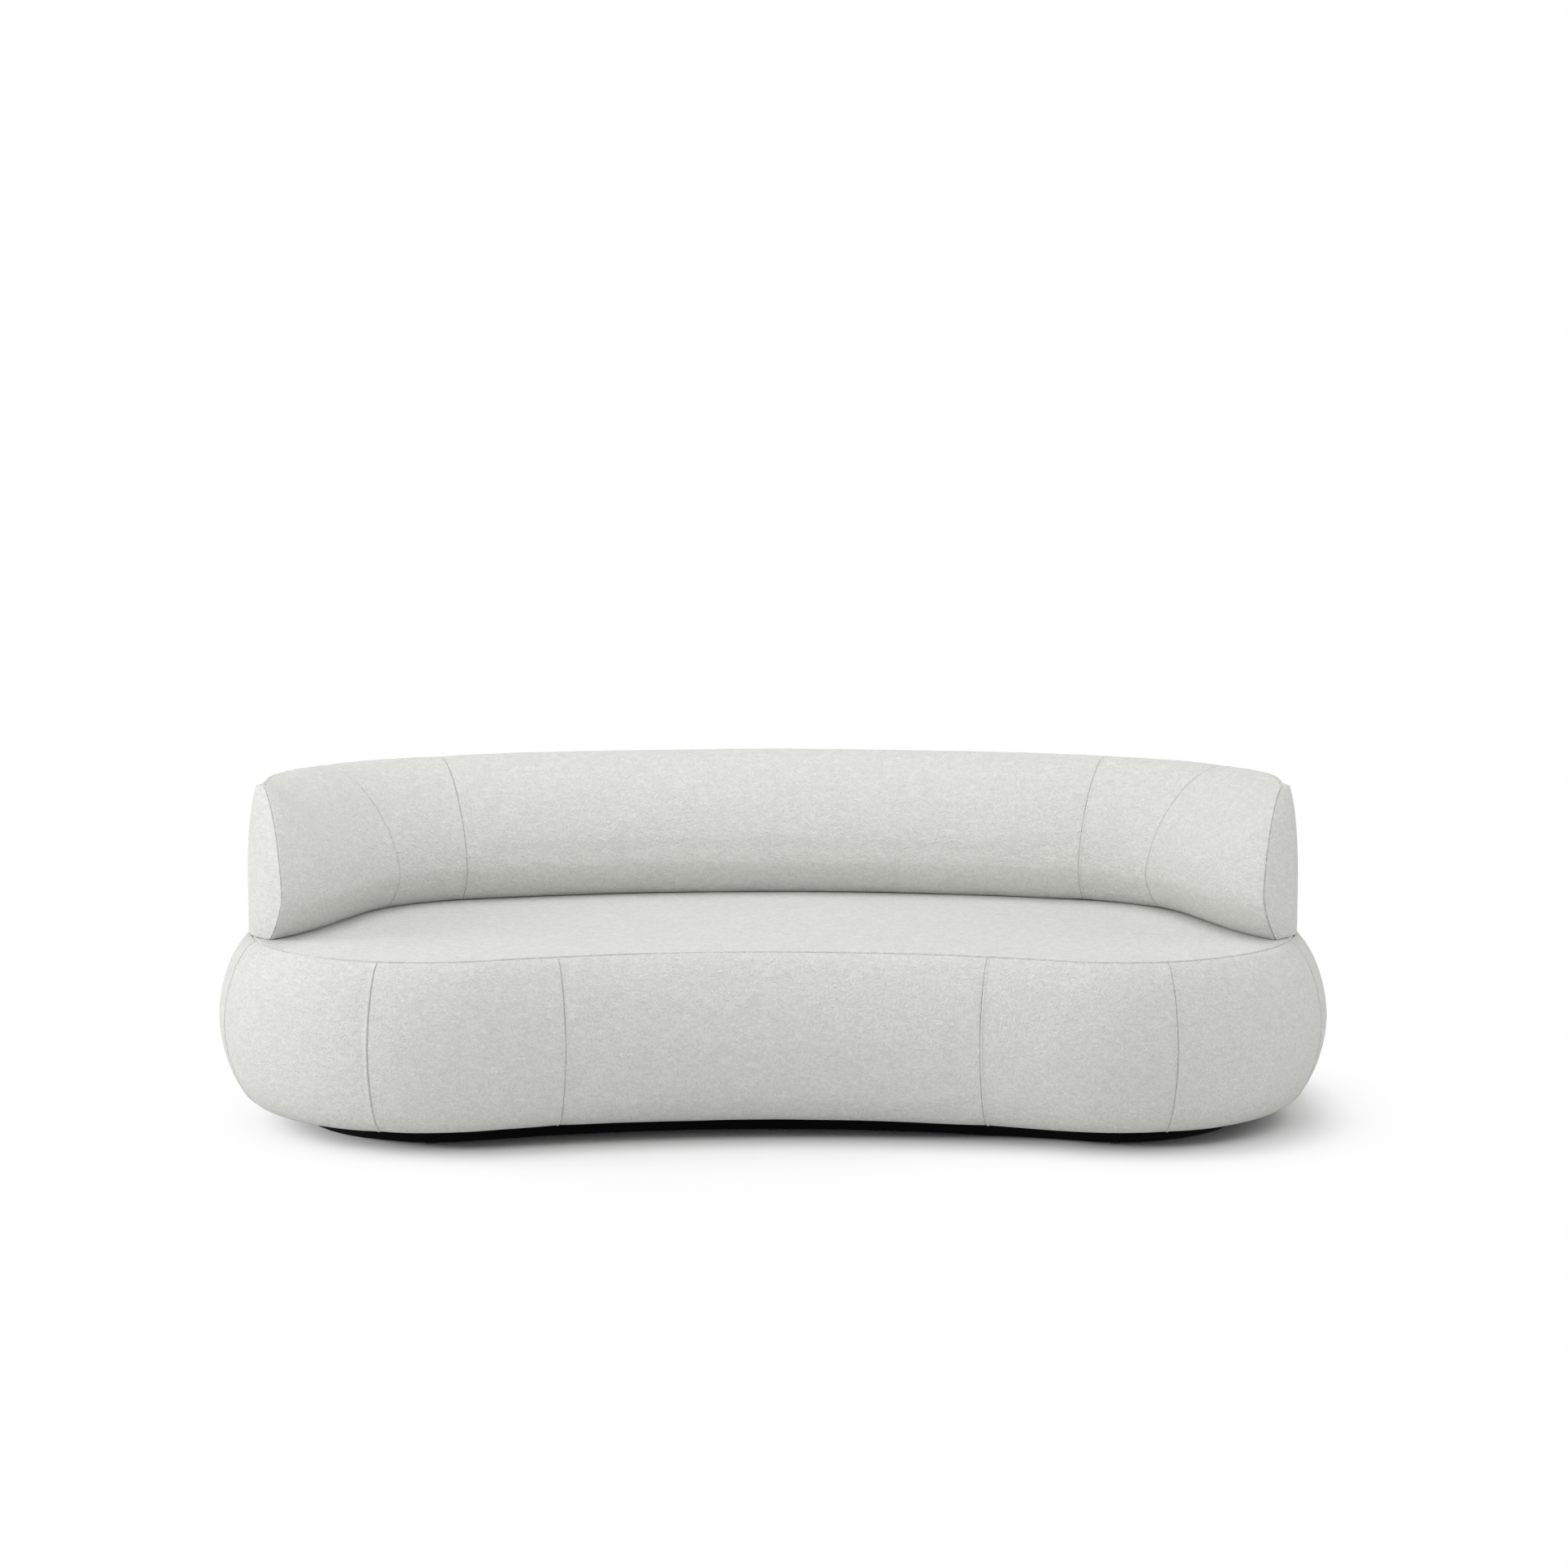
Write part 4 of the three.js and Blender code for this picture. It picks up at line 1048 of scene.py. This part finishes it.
@dataclass(frozen=True)
class ElasticWebbing(TwoToneFinish):
    """Elastic webbing woven from rubber and polypropylene: dark grey with close lengthwise ribs."""

    name: str = "elastic_webbing"
    dark: str = "#26241F"
    light: str = "#4A4743"
    grain: float = 2.5 * MM
    relief: float = 0.4 * MM
    relief_strength: float = 0.6
    roughness: float = 0.85
    distortion: float = 0.2

    def pattern(self, tree: bpy.types.NodeTree) -> bpy.types.NodeSocket:
        """Makes the ribs, one per grain: the node's bands lie 2 pi / 20 apart at a scale of 1."""
        place = add_node(tree, "ShaderNodeTexCoord").outputs["Object"]
        ribs = add_node(
            tree, "ShaderNodeTexWave", {"wave_type": "BANDS", "bands_direction": "X"},
            {"Scale": 2 * math.pi / 20 / self.grain, "Distortion": self.distortion}, {"Vector": place},
        )
        return ribs.outputs["Fac"]


@dataclass(frozen=True)
class ZincPlatedSteel(TwoToneFinish):
    """Turned steel bolts, zinc plated: cool grey metal with a fine cloudy bloom."""

    name: str = "zinc_plated_steel"
    dark: str = "#A6A9AE"
    light: str = "#C3C6CA"
    grain: float = 4 * MM
    relief: float = 0.05 * MM
    relief_strength: float = 0.1
    roughness: float = 0.35
    shine: tuple[tuple[str, float], ...] = (("Metallic", 1.0),)


@dataclass(frozen=True)
class MouldedPolypropylene(TwoToneFinish):
    """Injection-moulded polypropylene glides: black, with the fine matte texture of the mould."""

    name: str = "moulded_polypropylene"
    dark: str = "#161617"
    light: str = "#1E1E20"
    grain: float = 0.8 * MM
    relief: float = 0.08 * MM
    relief_strength: float = 0.3
    roughness: float = 0.5
    detail: float = 2.0
    shine: tuple[tuple[str, float], ...] = (("IOR", 1.49),)


class Finish(Enum):
    """The finishes of the sofa's pieces, by what they are made of."""

    FELT = WoolFelt()
    LACQUERED_WOOD = PaintedWood()
    PLYWOOD = BirchPlywood()
    WEBBING = ElasticWebbing()
    STEEL = ZincPlatedSteel()
    PLASTIC = MouldedPolypropylene()


class FinishShelf:
    """Keeps one material per finish."""

    def __init__(self) -> None:
        """Starts with an empty shelf."""
        self.made: dict[Finish, bpy.types.Material] = {}

    def dress(self, piece: bpy.types.Object, finish: Finish) -> None:
        """Puts a finish on all of a piece."""
        if finish not in self.made:
            self.made[finish] = finish.value.build()
        slots = piece.data.materials
        slots.clear()
        slots.append(self.made[finish])


# Sub-assemblies


@dataclass
class BaseCover:
    """The cover of the base: nine side panels round the edge and one seat panel on top."""

    plan: BasePlan
    edge: PaddedEdge
    shelf: FinishShelf
    inner_seam: float = 0.433
    lobe_seam: float = 0.850
    side_seam: float = 1.324
    rear_seam: float = 1.975
    thickness: float = 5 * MM
    column_step: float = 9 * MM
    row_step: float = 9 * MM
    seat_step: float = 28 * MM
    high_lip: float = 1.8 * MM
    low_lip: float = 0.0
    top_lip: float = 1.2 * MM
    brim_phase: float = 1.3
    seat_phase: float = 2.1
    swell: float = 1.6 * MM
    unevenness: float = 0.45 * MM
    brim_drop: float = 4 * MM
    sag: float = 0.5 * MM

    def columns(self) -> tuple[np.ndarray, dict[float, int]]:
        """Lays out the grid's columns round the outline.

        Returns:
            Their runs from the middle of the front, and the column of each seam.
        """
        rear = self.plan.half_run
        seams = [self.inner_seam, self.lobe_seam, self.side_seam, self.rear_seam, rear]
        limits = sorted([-seam for seam in seams] + seams)
        runs = [np.array([limits[0]])]
        places = {limits[0]: 0}
        total = 1
        for start, end in zip(limits, limits[1:]):
            part = start + stations(end - start, self.column_step, True, True)[1:]
            runs.append(part)
            total += len(part)
            places[end] = total - 1
        return np.concatenate(runs), places

    def grid(self, line: np.ndarray, distances: np.ndarray, runs: np.ndarray) -> np.ndarray:
        """Sweeps a section round the outline.

        Args:
            line: the section, as insets and heights.
            distances: where its points lie along that line.
            runs: where the sections stand round the outline.

        Returns:
            The grid of points.
        """
        section = spaced(line, distances)
        points, inward = self.plan.at(runs)
        flat = points[:, None, :] + inward[:, None, :] * section[None, :, 0, None]
        height = np.broadcast_to(section[None, :, 1, None], flat.shape[:2] + (1,))
        return np.concatenate([flat, height], axis=2)

    def build_sides(self) -> list[bpy.types.Object]:
        """Builds the nine side panels.

        Returns:
            The panels' objects.
        """
        runs, places = self.columns()
        line = self.edge.side_line()
        distances = stations(length_of(line), self.row_step, False, True)
        cloth = ClothGrid(self.grid(line, distances, runs))
        cloth.soften(self.swell, self.unevenness)
        cloth.inflate(list(places.values()))
        for run, column in places.items():
            at_rear_centre = abs(run) > self.rear_seam + MM
            outer_lip = self.low_lip if at_rear_centre else self.high_lip
            cloth.sew_column(FELLED, column, lapped(outer_lip, self.low_lip, run < 0), run)
        cloth.sew_row(BRIM_SIDE, -1, self.low_lip, self.brim_phase)
        cuts = {
            "base_cover_front": (-self.inner_seam, self.inner_seam),
            "base_cover_inner_right": (self.inner_seam, self.lobe_seam),
            "base_cover_lobe_right": (self.lobe_seam, self.side_seam),
            "base_cover_end_right": (self.side_seam, self.rear_seam),
            "base_cover_rear_right": (self.rear_seam, self.plan.half_run),
            "base_cover_inner_left": (-self.lobe_seam, -self.inner_seam),
            "base_cover_lobe_left": (-self.side_seam, -self.lobe_seam),
            "base_cover_end_left": (-self.rear_seam, -self.side_seam),
            "base_cover_rear_left": (-self.plan.half_run, -self.rear_seam),
        }
        padding = {
            "base_cover_front": "base_edge_foam_front",
            "base_cover_end_left": "base_edge_foam_left",
            "base_cover_end_right": "base_edge_foam_right",
            "base_cover_rear_left": "base_edge_foam_rear",
        }
        pieces = []
        for name, (start, end) in cuts.items():
            piece = cloth.cut(name, places[start], places[end], self.thickness)
            covered = [name] + ([padding[name]] if name in padding else [])
            finish_cover(piece, self.shelf, covered)
            pieces.append(piece)
        return pieces

    def build_seat(self) -> bpy.types.Object:
        """Builds the seat panel: a sewn rim and a flat field of smaller faces inside it.

        Returns:
            The panel's object.
        """
        runs, _ = self.columns()
        runs = runs[:-1]
        line = self.edge.seat_line()
        distances = stations(length_of(line), self.row_step, True, False)
        cloth = ClothGrid(self.grid(line, distances, np.append(runs, runs[0] + 2 * self.plan.half_run)))
        cloth.sew_row(BRIM_SEAT, 0, self.top_lip, self.seat_phase)
        upper = cloth.outer(0, len(runs) - 1)
        lower = cloth.inner(0, len(runs) - 1, self.thickness)
        rim_columns, rim_rows = upper.shape[:2]
        flat = self.edge.top - BRIM_SEAT.pull * math.exp(-distances[-1] / BRIM_SEAT.pull_reach)
        field_points, field_faces = self.field(upper[:, -1, :2])
        settled = self.settle(upper[:, :, :2])
        upper[:, :, 2] += settled * (upper[:, :, 2] > self.edge.top - self.brim_drop)
        heights = flat + self.settle(field_points[None])[0]
        top = np.concatenate([field_points, heights[:, None]], axis=1)
        vertices = [upper.reshape(-1, 3), lower[:, [0, -1]].reshape(-1, 3), top[rim_columns:]]
        low = rim_columns * rim_rows
        inside = low + 2 * rim_columns
        faces: list[tuple[int, ...]] = []
        for i in range(rim_columns):
            n = (i + 1) % rim_columns
            a, b = i * rim_rows, n * rim_rows
            faces.extend((a + j, b + j, b + j + 1, a + j + 1) for j in range(rim_rows - 1))
            faces.append((a, low + 2 * i, low + 2 * n, b))
            faces.append((low + 2 * i, low + 2 * i + 1, low + 2 * n + 1, low + 2 * n))
        faces.append(tuple(low + 2 * i + 1 for i in range(rim_columns)))

        def index(k: int) -> int:
            """Finds a field point among the mesh's points."""
            return k * rim_rows + rim_rows - 1 if k < rim_columns else inside + k - rim_columns

        faces.extend(tuple(index(k) for k in face) for face in field_faces)
        piece = make_object("seat_cover_felt", np.concatenate(vertices), faces)
        finish_cover(piece, self.shelf, ["seat_cover", "seat_foam"])
        return piece

    def settle(self, places: np.ndarray) -> np.ndarray:
        """Gives how far the seat's padding has settled, by place, so that the flat isn't dead flat."""
        highest = sum(strength for strength, _ in SEAT_LUMPS)
        return -self.sag * (1 + lumpiness(places, SEAT_LUMPS) / highest)

    def field(self, rim: np.ndarray) -> tuple[np.ndarray, list[list[int]]]:
        """Fills the flat of the seat with evenly spread points.

        Args:
            rim: the points of the rim's inner edge, in order.

        Returns:
            The rim's points followed by those inside, and the faces that join them.
        """
        low, high = rim.min(axis=0), rim.max(axis=0)
        step = self.seat_step
        xs = np.arange(low[0] + step / 2, high[0], step)
        ys = np.arange(low[1] + step / 2, high[1], step * math.sqrt(3) / 2)
        spots = np.array([(x + step / 2 * (k % 2), y) for k, y in enumerate(ys) for x in xs])
        every_fourth = rim[None, ::4, :]
        nearest = np.min(np.linalg.norm(spots[:, None, :] - every_fourth, axis=2), axis=1)
        spots = spots[nearest > step / 2]
        points = np.concatenate([rim, spots])
        ring = [(k, (k + 1) % len(rim)) for k in range(len(rim))]
        found = delaunay_2d_cdt([Vector(p) for p in points], ring, [], 1, TOUCHING)
        back = [source[0] if source else -1 for source in found[3]]
        return points, [[back[k] for k in face] for face in found[2]]

    def build(self) -> list[bpy.types.Object]:
        """Builds the whole cover of the base."""
        return [*self.build_sides(), self.build_seat()]


@dataclass
class BackCover:
    """The cover of the back: five face panels, and three wall panels behind and round the tips."""

    form: BackForm
    shelf: FinishShelf
    centre_seam: float = 0.716
    shoulder_seam: float = 0.913
    thickness: float = 5 * MM
    column_step: float = 9 * MM
    row_step: float = 9 * MM
    face_length: float = 0.56
    tip_length: float = 0.22
    tip_columns: int = 30
    lip: float = 1.3 * MM
    closed_lip: float = 0.52 * MM
    tip_face_lip: float = 1.04 * MM
    tip_wall_lip: float = 0.9 * MM
    shoulder_phase: float = 0.01
    centre_phase: float = 0.02
    tip_phase: float = 0.6
    crown_phases: tuple[float, float] = (0.3, 0.9)
    shared_reach: float = 4 * MM
    corner_reach: float = 22 * MM
    tuck_rows: tuple[float, ...] = tuple(MM * d for d in (1.0, 2.5, 4.5, 6.5))
    tuck_reach: float = 18 * MM
    tuck_depth: float = 12 * MM
    tuck_free_ends: float = 45 * MM
    swell: float = 1.6 * MM
    unevenness: float = 0.5 * MM

    def half_columns(self) -> tuple[np.ndarray, np.ndarray, int, int]:
        """Lays out the right half's columns.

        Returns:
            The runs of the main sections, the shares of the tip's, and the columns of the two seams.
        """
        start = self.form.tip_start
        first = stations(self.centre_seam, self.column_step, False, True)
        second = self.centre_seam + stations(
            self.shoulder_seam - self.centre_seam, self.column_step, True, True
        )[1:]
        third = self.shoulder_seam + stations(start - self.shoulder_seam, self.column_step, True, False)[1:]
        runs = np.concatenate([first, second, third])
        near = 1 - np.array(CROWDED)[::-1] / self.tip_length
        even = np.linspace(0, near[0], self.tip_columns)[1:-1]
        return runs, np.concatenate([even, near]), len(first) - 1, len(first) + len(second) - 1

    def build(self) -> list[bpy.types.Object]:
        """Builds the eight panels.

        Returns:
            The panels' objects.
        """
        runs, tips, centre, shoulder = self.half_columns()
        rows = np.insert(stations(self.face_length, self.row_step, False, True), 1, self.tuck_rows)
        share = rows / self.face_length
        main = self.form.main_sections(runs, share)
        tip = self.form.tip_sections(tips, share)
        grids = []
        for before, after in zip(main, tip):
            half = np.concatenate([before, after])
            half[:, :, 1] -= self.form.plan.middle_y
            mirrored = half[:0:-1] * np.array([-1.0, 1.0, 1.0])
            grids.append(ClothGrid(np.concatenate([mirrored, half])))
        face, wall = grids
        middle = len(runs) + len(tips) - 1
        last = 2 * middle
        self.share_end_seam(face, wall)
        face.tuck(self.tuck_reach, self.tuck_depth, self.tuck_free_ends)
        for cloth, seams in ((face, (centre, shoulder)), (wall, (centre,))):
            cloth.soften(self.swell, self.unevenness)
            cloth.inflate([middle + sign * seam for seam in seams for sign in (-1, 1)])
        for column in (middle - shoulder, middle + shoulder):
            lips = lapped(self.closed_lip, 0.0, column < middle)
            face.sew_column(CLOSED, column, lips, self.shoulder_phase * column)
        for cloth, tip_lip in ((face, self.tip_face_lip), (wall, self.tip_wall_lip)):
            for column in (middle - centre, middle + centre):
                lips = lapped(self.lip, 0.0, column < middle)
                cloth.sew_column(FELLED, column, lips, self.centre_phase * column)
            for column in (0, last):
                cloth.sew_column(TIP, column, (tip_lip, tip_lip), self.tip_phase)
        face.sew_row(CLOSED, -1, self.closed_lip, self.crown_phases[0])
        wall.sew_row(CLOSED, 0, self.closed_lip, self.crown_phases[1])
        for cloth in grids:
            for column in (0, last):
                cloth.fill_corner(face.points[column, -1], self.corner_reach)
        cuts = (
            (face, "back_cover_inner_centre", middle - centre, middle + centre, "back_foam_centre"),
            (face, "back_cover_inner_shoulder_left", middle - shoulder, middle - centre, None),
            (face, "back_cover_inner_shoulder_right", middle + centre, middle + shoulder, None),
            (face, "back_cover_inner_end_left", 0, middle - shoulder, "back_foam_end_left"),
            (face, "back_cover_inner_end_right", middle + shoulder, last, "back_foam_end_right"),
            (wall, "back_cover_outer_centre", middle - centre, middle + centre, None),
            (wall, "back_cover_outer_left", 0, middle - centre, None),
            (wall, "back_cover_outer_right", middle + centre, last, None),
        )
        pieces = []
        for cloth, name, first, end, padding in cuts:
            piece = cloth.cut(name, first, end, self.thickness)
            finish_cover(piece, self.shelf, [name] + ([padding] if padding else []))
            pieces.append(piece)
        return pieces

    def share_end_seam(self, face: ClothGrid, wall: ClothGrid) -> None:
        """Turns both sides of each end seam to one direction, so that the groove closes there.

        The grids shrink to nothing at the tip's corner, so it takes its direction from the rows beside it.
        """
        for column in (0, -1):
            common = face.normals[column] + wall.normals[column][::-1]
            common[-1] = common[-2]
            common /= np.linalg.norm(common, axis=1, keepdims=True)
            for cloth, shared in ((face, common), (wall, common[::-1])):
                across = runs_of_length(cloth.points, 0)
                away = np.abs(across - across[column][None, :])
                own = smooth(away / self.shared_reach)[:, :, None]
                mixed = cloth.normals * own + shared[None] * (1 - own)
                mixed /= np.linalg.norm(mixed, axis=2, keepdims=True)
                near = (away < self.shared_reach)[:, :, None]
                cloth.normals = np.where(near, mixed, cloth.normals)
            corner, way = face.points[column, -1], face.normals[column, -3]
            for cloth in (face, wall):
                own = smooth(np.linalg.norm(cloth.points - corner, axis=2) / self.corner_reach)[:, :, None]
                mixed = cloth.normals * own + way * (1 - own)
                cloth.normals = mixed / np.linalg.norm(mixed, axis=2, keepdims=True)


def finish_cover(piece: bpy.types.Object, shelf: FinishShelf, covered: Sequence[str]) -> None:
    """Dresses a cover panel in felt, attaches it to the body it rides on, and hides the frame's nodes that it
    stands for.

    Args:
        piece: the panel's object.
        shelf: where the materials are kept.
        covered: the frame's nodes that the panel stands for.
    """
    shelf.dress(piece, Finish.FELT)
    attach(piece, BODY)
    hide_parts(*covered)
    log.info("%s: %d faces", piece.name, len(piece.data.polygons))


@dataclass
class InnerFrame:
    """What the frame carries as it is: the plinth, its glides, the boards, the webbing and the bolts."""

    shelf: FinishShelf
    finishes: tuple[tuple[str, Finish], ...] = (
        ("plinth_", Finish.LACQUERED_WOOD),
        ("glide_", Finish.PLASTIC),
        ("base_board", Finish.LACQUERED_WOOD),
        ("base_rib_", Finish.PLYWOOD),
        ("seat_rail_", Finish.PLYWOOD),
        ("seat_webbing_", Finish.WEBBING),
        ("back_board", Finish.PLYWOOD),
        ("back_top_rail", Finish.PLYWOOD),
        ("back_rib_", Finish.PLYWOOD),
        ("back_bolt_", Finish.STEEL),
    )

    def dress(self) -> None:
        """Gives each carried-over piece its finish."""
        for name, piece in frame["nodes"].items():
            for start, finish in self.finishes:
                if name.startswith(start):
                    self.shelf.dress(piece, finish)
                    log.info("%s: %s", name, finish.name.lower())


# The studio


@dataclass(frozen=True)
class Lamp:
    """A square soft lamp that points at the middle of the sofa."""

    name: str
    place: tuple[float, float, float]
    size: float
    power: float
    aim: tuple[float, float, float] = (0.0, 0.0, 0.4)

    def build(self) -> None:
        """Makes the lamp."""
        light = bpy.data.lights.new(self.name, "AREA")
        light.shape = "SQUARE"
        light.size = self.size
        light.energy = self.power
        lamp = bpy.data.objects.new(self.name, light)
        lamp.location = self.place
        lamp.rotation_euler = (Vector(self.aim) - Vector(self.place)).to_track_quat("-Z", "Y").to_euler()
        bpy.context.scene.collection.objects.link(lamp)


@dataclass
class Studio:
    """A pale floor, a white surround, soft lamps and the camera of the photograph."""

    plan: BasePlan
    paper: str = "#E9E9E9"
    white: str = "#FFFFFF"
    floor_size: float = 400.0
    floor_step: float = 0.025
    floor_close: tuple[float, float] = (1.45, 0.90)
    floor_widening: float = 1.35
    measured_within: float = 4.0
    rim_steps: int = 360
    # How far the painted shadow on the floor is pushed out on the right and pulled in on the left
    painted_shadow_lean: float = 0.085
    # How much of the floor shows plain white, by metres outside the base's outline. These stops paint the
    # shadow round the sofa: where the share is low the rendered shadow shows, and further out a white glow is
    # painted over it.
    painted_shadow_glow_stops: tuple[tuple[float, float], ...] = (
        (-0.20, 0.0), (-0.185, 0.05), (-0.155, 0.20), (-0.125, 0.30), (-0.095, 0.41), (-0.065, 0.55),
        (-0.035, 0.70), (-0.005, 0.83), (0.03, 0.91), (0.08, 0.96), (0.16, 1.0),
    )
    # Where the hollow front lies, and how much further out and how much more slowly the painted shadow fades
    # there
    hollow_middle: float = -0.08
    hollow_half: float = 0.55
    painted_hollow_shadow_lean: float = 0.055
    painted_hollow_shadow_tail: float = 0.78
    surround: float = 0.30
    camera_place: tuple[float, float, float] = (0.0, -8.1561, 1.799)
    camera_pitch: float = math.radians(7.63)
    lens: float = 85.83
    sensor: float = 36.0
    shift: float = 0.0071
    lamps: tuple[Lamp, ...] = (
        Lamp("left", (-5.5, -0.8, 2.0), 3.0, 114.0),
        Lamp("upper_left", (-5.0, -2.5, 3.6), 3.0, 52.0),
        Lamp("front_left", (-3.0, -6.0, 3.5), 3.0, 60.0),
        Lamp("front", (0.0, -6.0, 5.0), 3.5, 43.0),
        Lamp("front_right", (3.5, -5.5, 3.0), 3.0, 38.0),
        Lamp("right", (5.5, -0.8, 2.2), 3.0, 71.0),
        Lamp("top", (0.0, 0.2, 5.2), 4.0, 117.0),
        Lamp("rear", (0.0, 4.0, 5.0), 3.0, 32.0),
    )

    def build(self) -> None:
        """Builds the floor, the surround, the lamps and the camera."""
        self.build_floor()
        self.build_surround()
        for lamp in self.lamps:
            lamp.build()
        self.build_camera()
        bpy.context.scene.view_settings.view_transform = "Standard"

    def build_floor(self) -> None:
        """Makes a pale floor that shows white, with a painted shadow near the sofa: a white glow, set by
        place, covers the rendered shadow more the further out it lies.
        """
        xs, ys = (self.spread(half) for half in self.floor_close)
        grid = np.stack(np.meshgrid(xs, ys, indexing="ij"), axis=2).reshape(-1, 2)
        faces = grid_faces(len(xs), len(ys)).tolist()
        mesh = bpy.data.meshes.new("studio_floor")
        mesh.from_pydata([(x, y, 0.0) for x, y in grid.tolist()], [], faces)
        away = mesh.attributes.new("away", "FLOAT", "POINT")
        away.data.foreach_set("value", self.painted_shadow_distance(grid).astype(np.float32))
        floor = bpy.data.objects.new("studio_floor", mesh)
        bpy.context.scene.collection.objects.link(floor)
        material = new_material("paper_floor_with_painted_shadow")
        tree = material.node_tree
        paper = add_node(tree, "ShaderNodeBsdfDiffuse", values={"Color": linear(self.paper)})
        glow = add_node(tree, "ShaderNodeEmission", values={"Color": linear(self.white), "Strength": 1.0})
        place = add_node(tree, "ShaderNodeAttribute", {"attribute_name": "away"})
        # Painted shadow: the glow's share by distance from the sofa decides how much of the rendered shadow
        # shows
        ramp = add_node(tree, "ShaderNodeFloatCurve", links={"Value": self.place_on_ramp(tree, place)})
        curve = ramp.mapping.curves[0]
        first, last = self.painted_shadow_glow_stops[0][0], self.painted_shadow_glow_stops[-1][0]
        for k, (distance, share) in enumerate(self.painted_shadow_glow_stops):
            spot = ((distance - first) / (last - first), share)
            if k in (0, len(self.painted_shadow_glow_stops) - 1):
                curve.points[0 if k == 0 else -1].location = spot
            else:
                curve.points.new(*spot)
        ramp.mapping.update()
        seen = add_node(
            tree, "ShaderNodeMath", {"operation": "MULTIPLY"},
            links={0: ramp.outputs[0], 1: self.looked_at(tree)},
        )
        mixed = add_node(
            tree, "ShaderNodeMixShader",
            links={0: seen.outputs[0], 1: paper.outputs[0], 2: glow.outputs[0]},
        )
        add_node(tree, "ShaderNodeOutputMaterial", links={"Surface": mixed.outputs[0]})
        floor.data.materials.append(material)

    def place_on_ramp(self, tree: bpy.types.NodeTree, place: bpy.types.Node) -> bpy.types.NodeSocket:
        """Turns the distance from the sofa into a place between the first and the last stop of the glow."""
        first, last = self.painted_shadow_glow_stops[0][0], self.painted_shadow_glow_stops[-1][0]
        along = add_node(
            tree, "ShaderNodeMapRange", values={"From Min": first, "From Max": last},
            links={"Value": place.outputs["Fac"]},
        )
        return along.outputs["Result"]

    @staticmethod
    def looked_at(tree: bpy.types.NodeTree) -> bpy.types.NodeSocket:
        """Tells the rays that show the background, from the camera or by way of a gloss, from the rest."""
        path = add_node(tree, "ShaderNodeLightPath")
        either = add_node(
            tree, "ShaderNodeMath", {"operation": "MAXIMUM"},
            links={0: path.outputs["Is Camera Ray"], 1: path.outputs["Is Glossy Ray"]},
        )
        return either.outputs[0]

    def spread(self, half: float) -> np.ndarray:
        """Spaces lines across the floor: close within half a span of the middle, then ever wider."""
        near = np.arange(0.0, half + self.floor_step, self.floor_step)
        far = [near[-1] + self.floor_step]
        while far[-1] < self.floor_size / 2:
            far.append(far[-1] * self.floor_widening)
        side = np.concatenate([near, far])
        return np.concatenate([-side[:0:-1], side])

    def painted_shadow_distance(self, spots: np.ndarray) -> np.ndarray:
        """Measures how far spots on the floor lie outside the base's outline, less than 0 inside it.

        The floor's shadow is painted by these measures. More light comes from the left, so on the right the
        painted shadow is pushed further out, by the lean. In the hollow front the sofa shades the floor from
        both sides, so there the painted shadow is pushed further out and made to fade slowly.
        """
        runs = np.linspace(-self.plan.half_run, self.plan.half_run, self.rim_steps + 1)[:-1]
        rim, inward = self.plan.at(runs)
        found = np.full(len(spots), self.floor_size)
        near = np.linalg.norm(spots, axis=1) < self.measured_within
        steps = spots[near][:, None, :] - rim[None]
        closest = np.argmin((steps ** 2).sum(axis=2), axis=1)
        step = steps[np.arange(len(closest)), closest]
        outside = -np.sign((step * inward[closest]).sum(axis=1)) * np.linalg.norm(step, axis=1)
        sideways = (spots[near, 0] - self.hollow_middle) / self.hollow_half
        hollow = np.where(spots[near, 1] < 0.0, np.exp(-sideways ** 4), 0.0)
        # Painted shadow: the hollow and the lean shift where the floor's white glow starts
        outside = np.where(outside > 0.0, outside * (1 - self.painted_hollow_shadow_tail * hollow), outside)
        found[near] = outside + self.painted_shadow_lean * inward[closest, 0] - self.painted_hollow_shadow_lean * hollow
        return found

    def build_surround(self) -> None:
        """Makes a world that lights softly and shows white."""
        world = bpy.data.worlds.new("white_surround")
        bpy.context.scene.world = world
        world.use_nodes = True
        tree = world.node_tree
        tree.nodes.clear()
        strength = add_node(
            tree, "ShaderNodeMapRange", values={"To Min": self.surround, "To Max": 1.0},
            links={"Value": self.looked_at(tree)},
        )
        back = add_node(
            tree, "ShaderNodeBackground", values={"Color": linear(self.white)},
            links={"Strength": strength.outputs["Result"]},
        )
        add_node(tree, "ShaderNodeOutputWorld", links={"Surface": back.outputs[0]})

    def build_camera(self) -> None:
        """Makes the camera where the photograph was taken from."""
        data = bpy.data.cameras.new("camera")
        data.lens = self.lens
        data.sensor_width = self.sensor
        data.shift_x = self.shift
        camera = bpy.data.objects.new("camera", data)
        camera.location = self.camera_place
        camera.rotation_euler = (math.pi / 2 - self.camera_pitch, 0.0, 0.0)
        bpy.context.scene.collection.objects.link(camera)
        bpy.context.scene.camera = camera


def write_sizes() -> None:
    """Updates the view layer."""
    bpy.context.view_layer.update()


def main() -> None:
    """Builds the sofa's covers, dresses its frame and sets the studio."""
    logging.basicConfig(level=logging.INFO, format="%(name)s: %(message)s")
    shelf = FinishShelf()
    plan = BasePlan()
    edge = PaddedEdge()
    base = BaseCover(plan, edge, shelf).build()
    back = BackCover(BackForm(plan), shelf).build()
    InnerFrame(shelf).dress()
    Studio(plan).build()
    write_sizes()
    log.info("%d cover panels", len(base) + len(back))


if __name__ == "__main__":
    main()
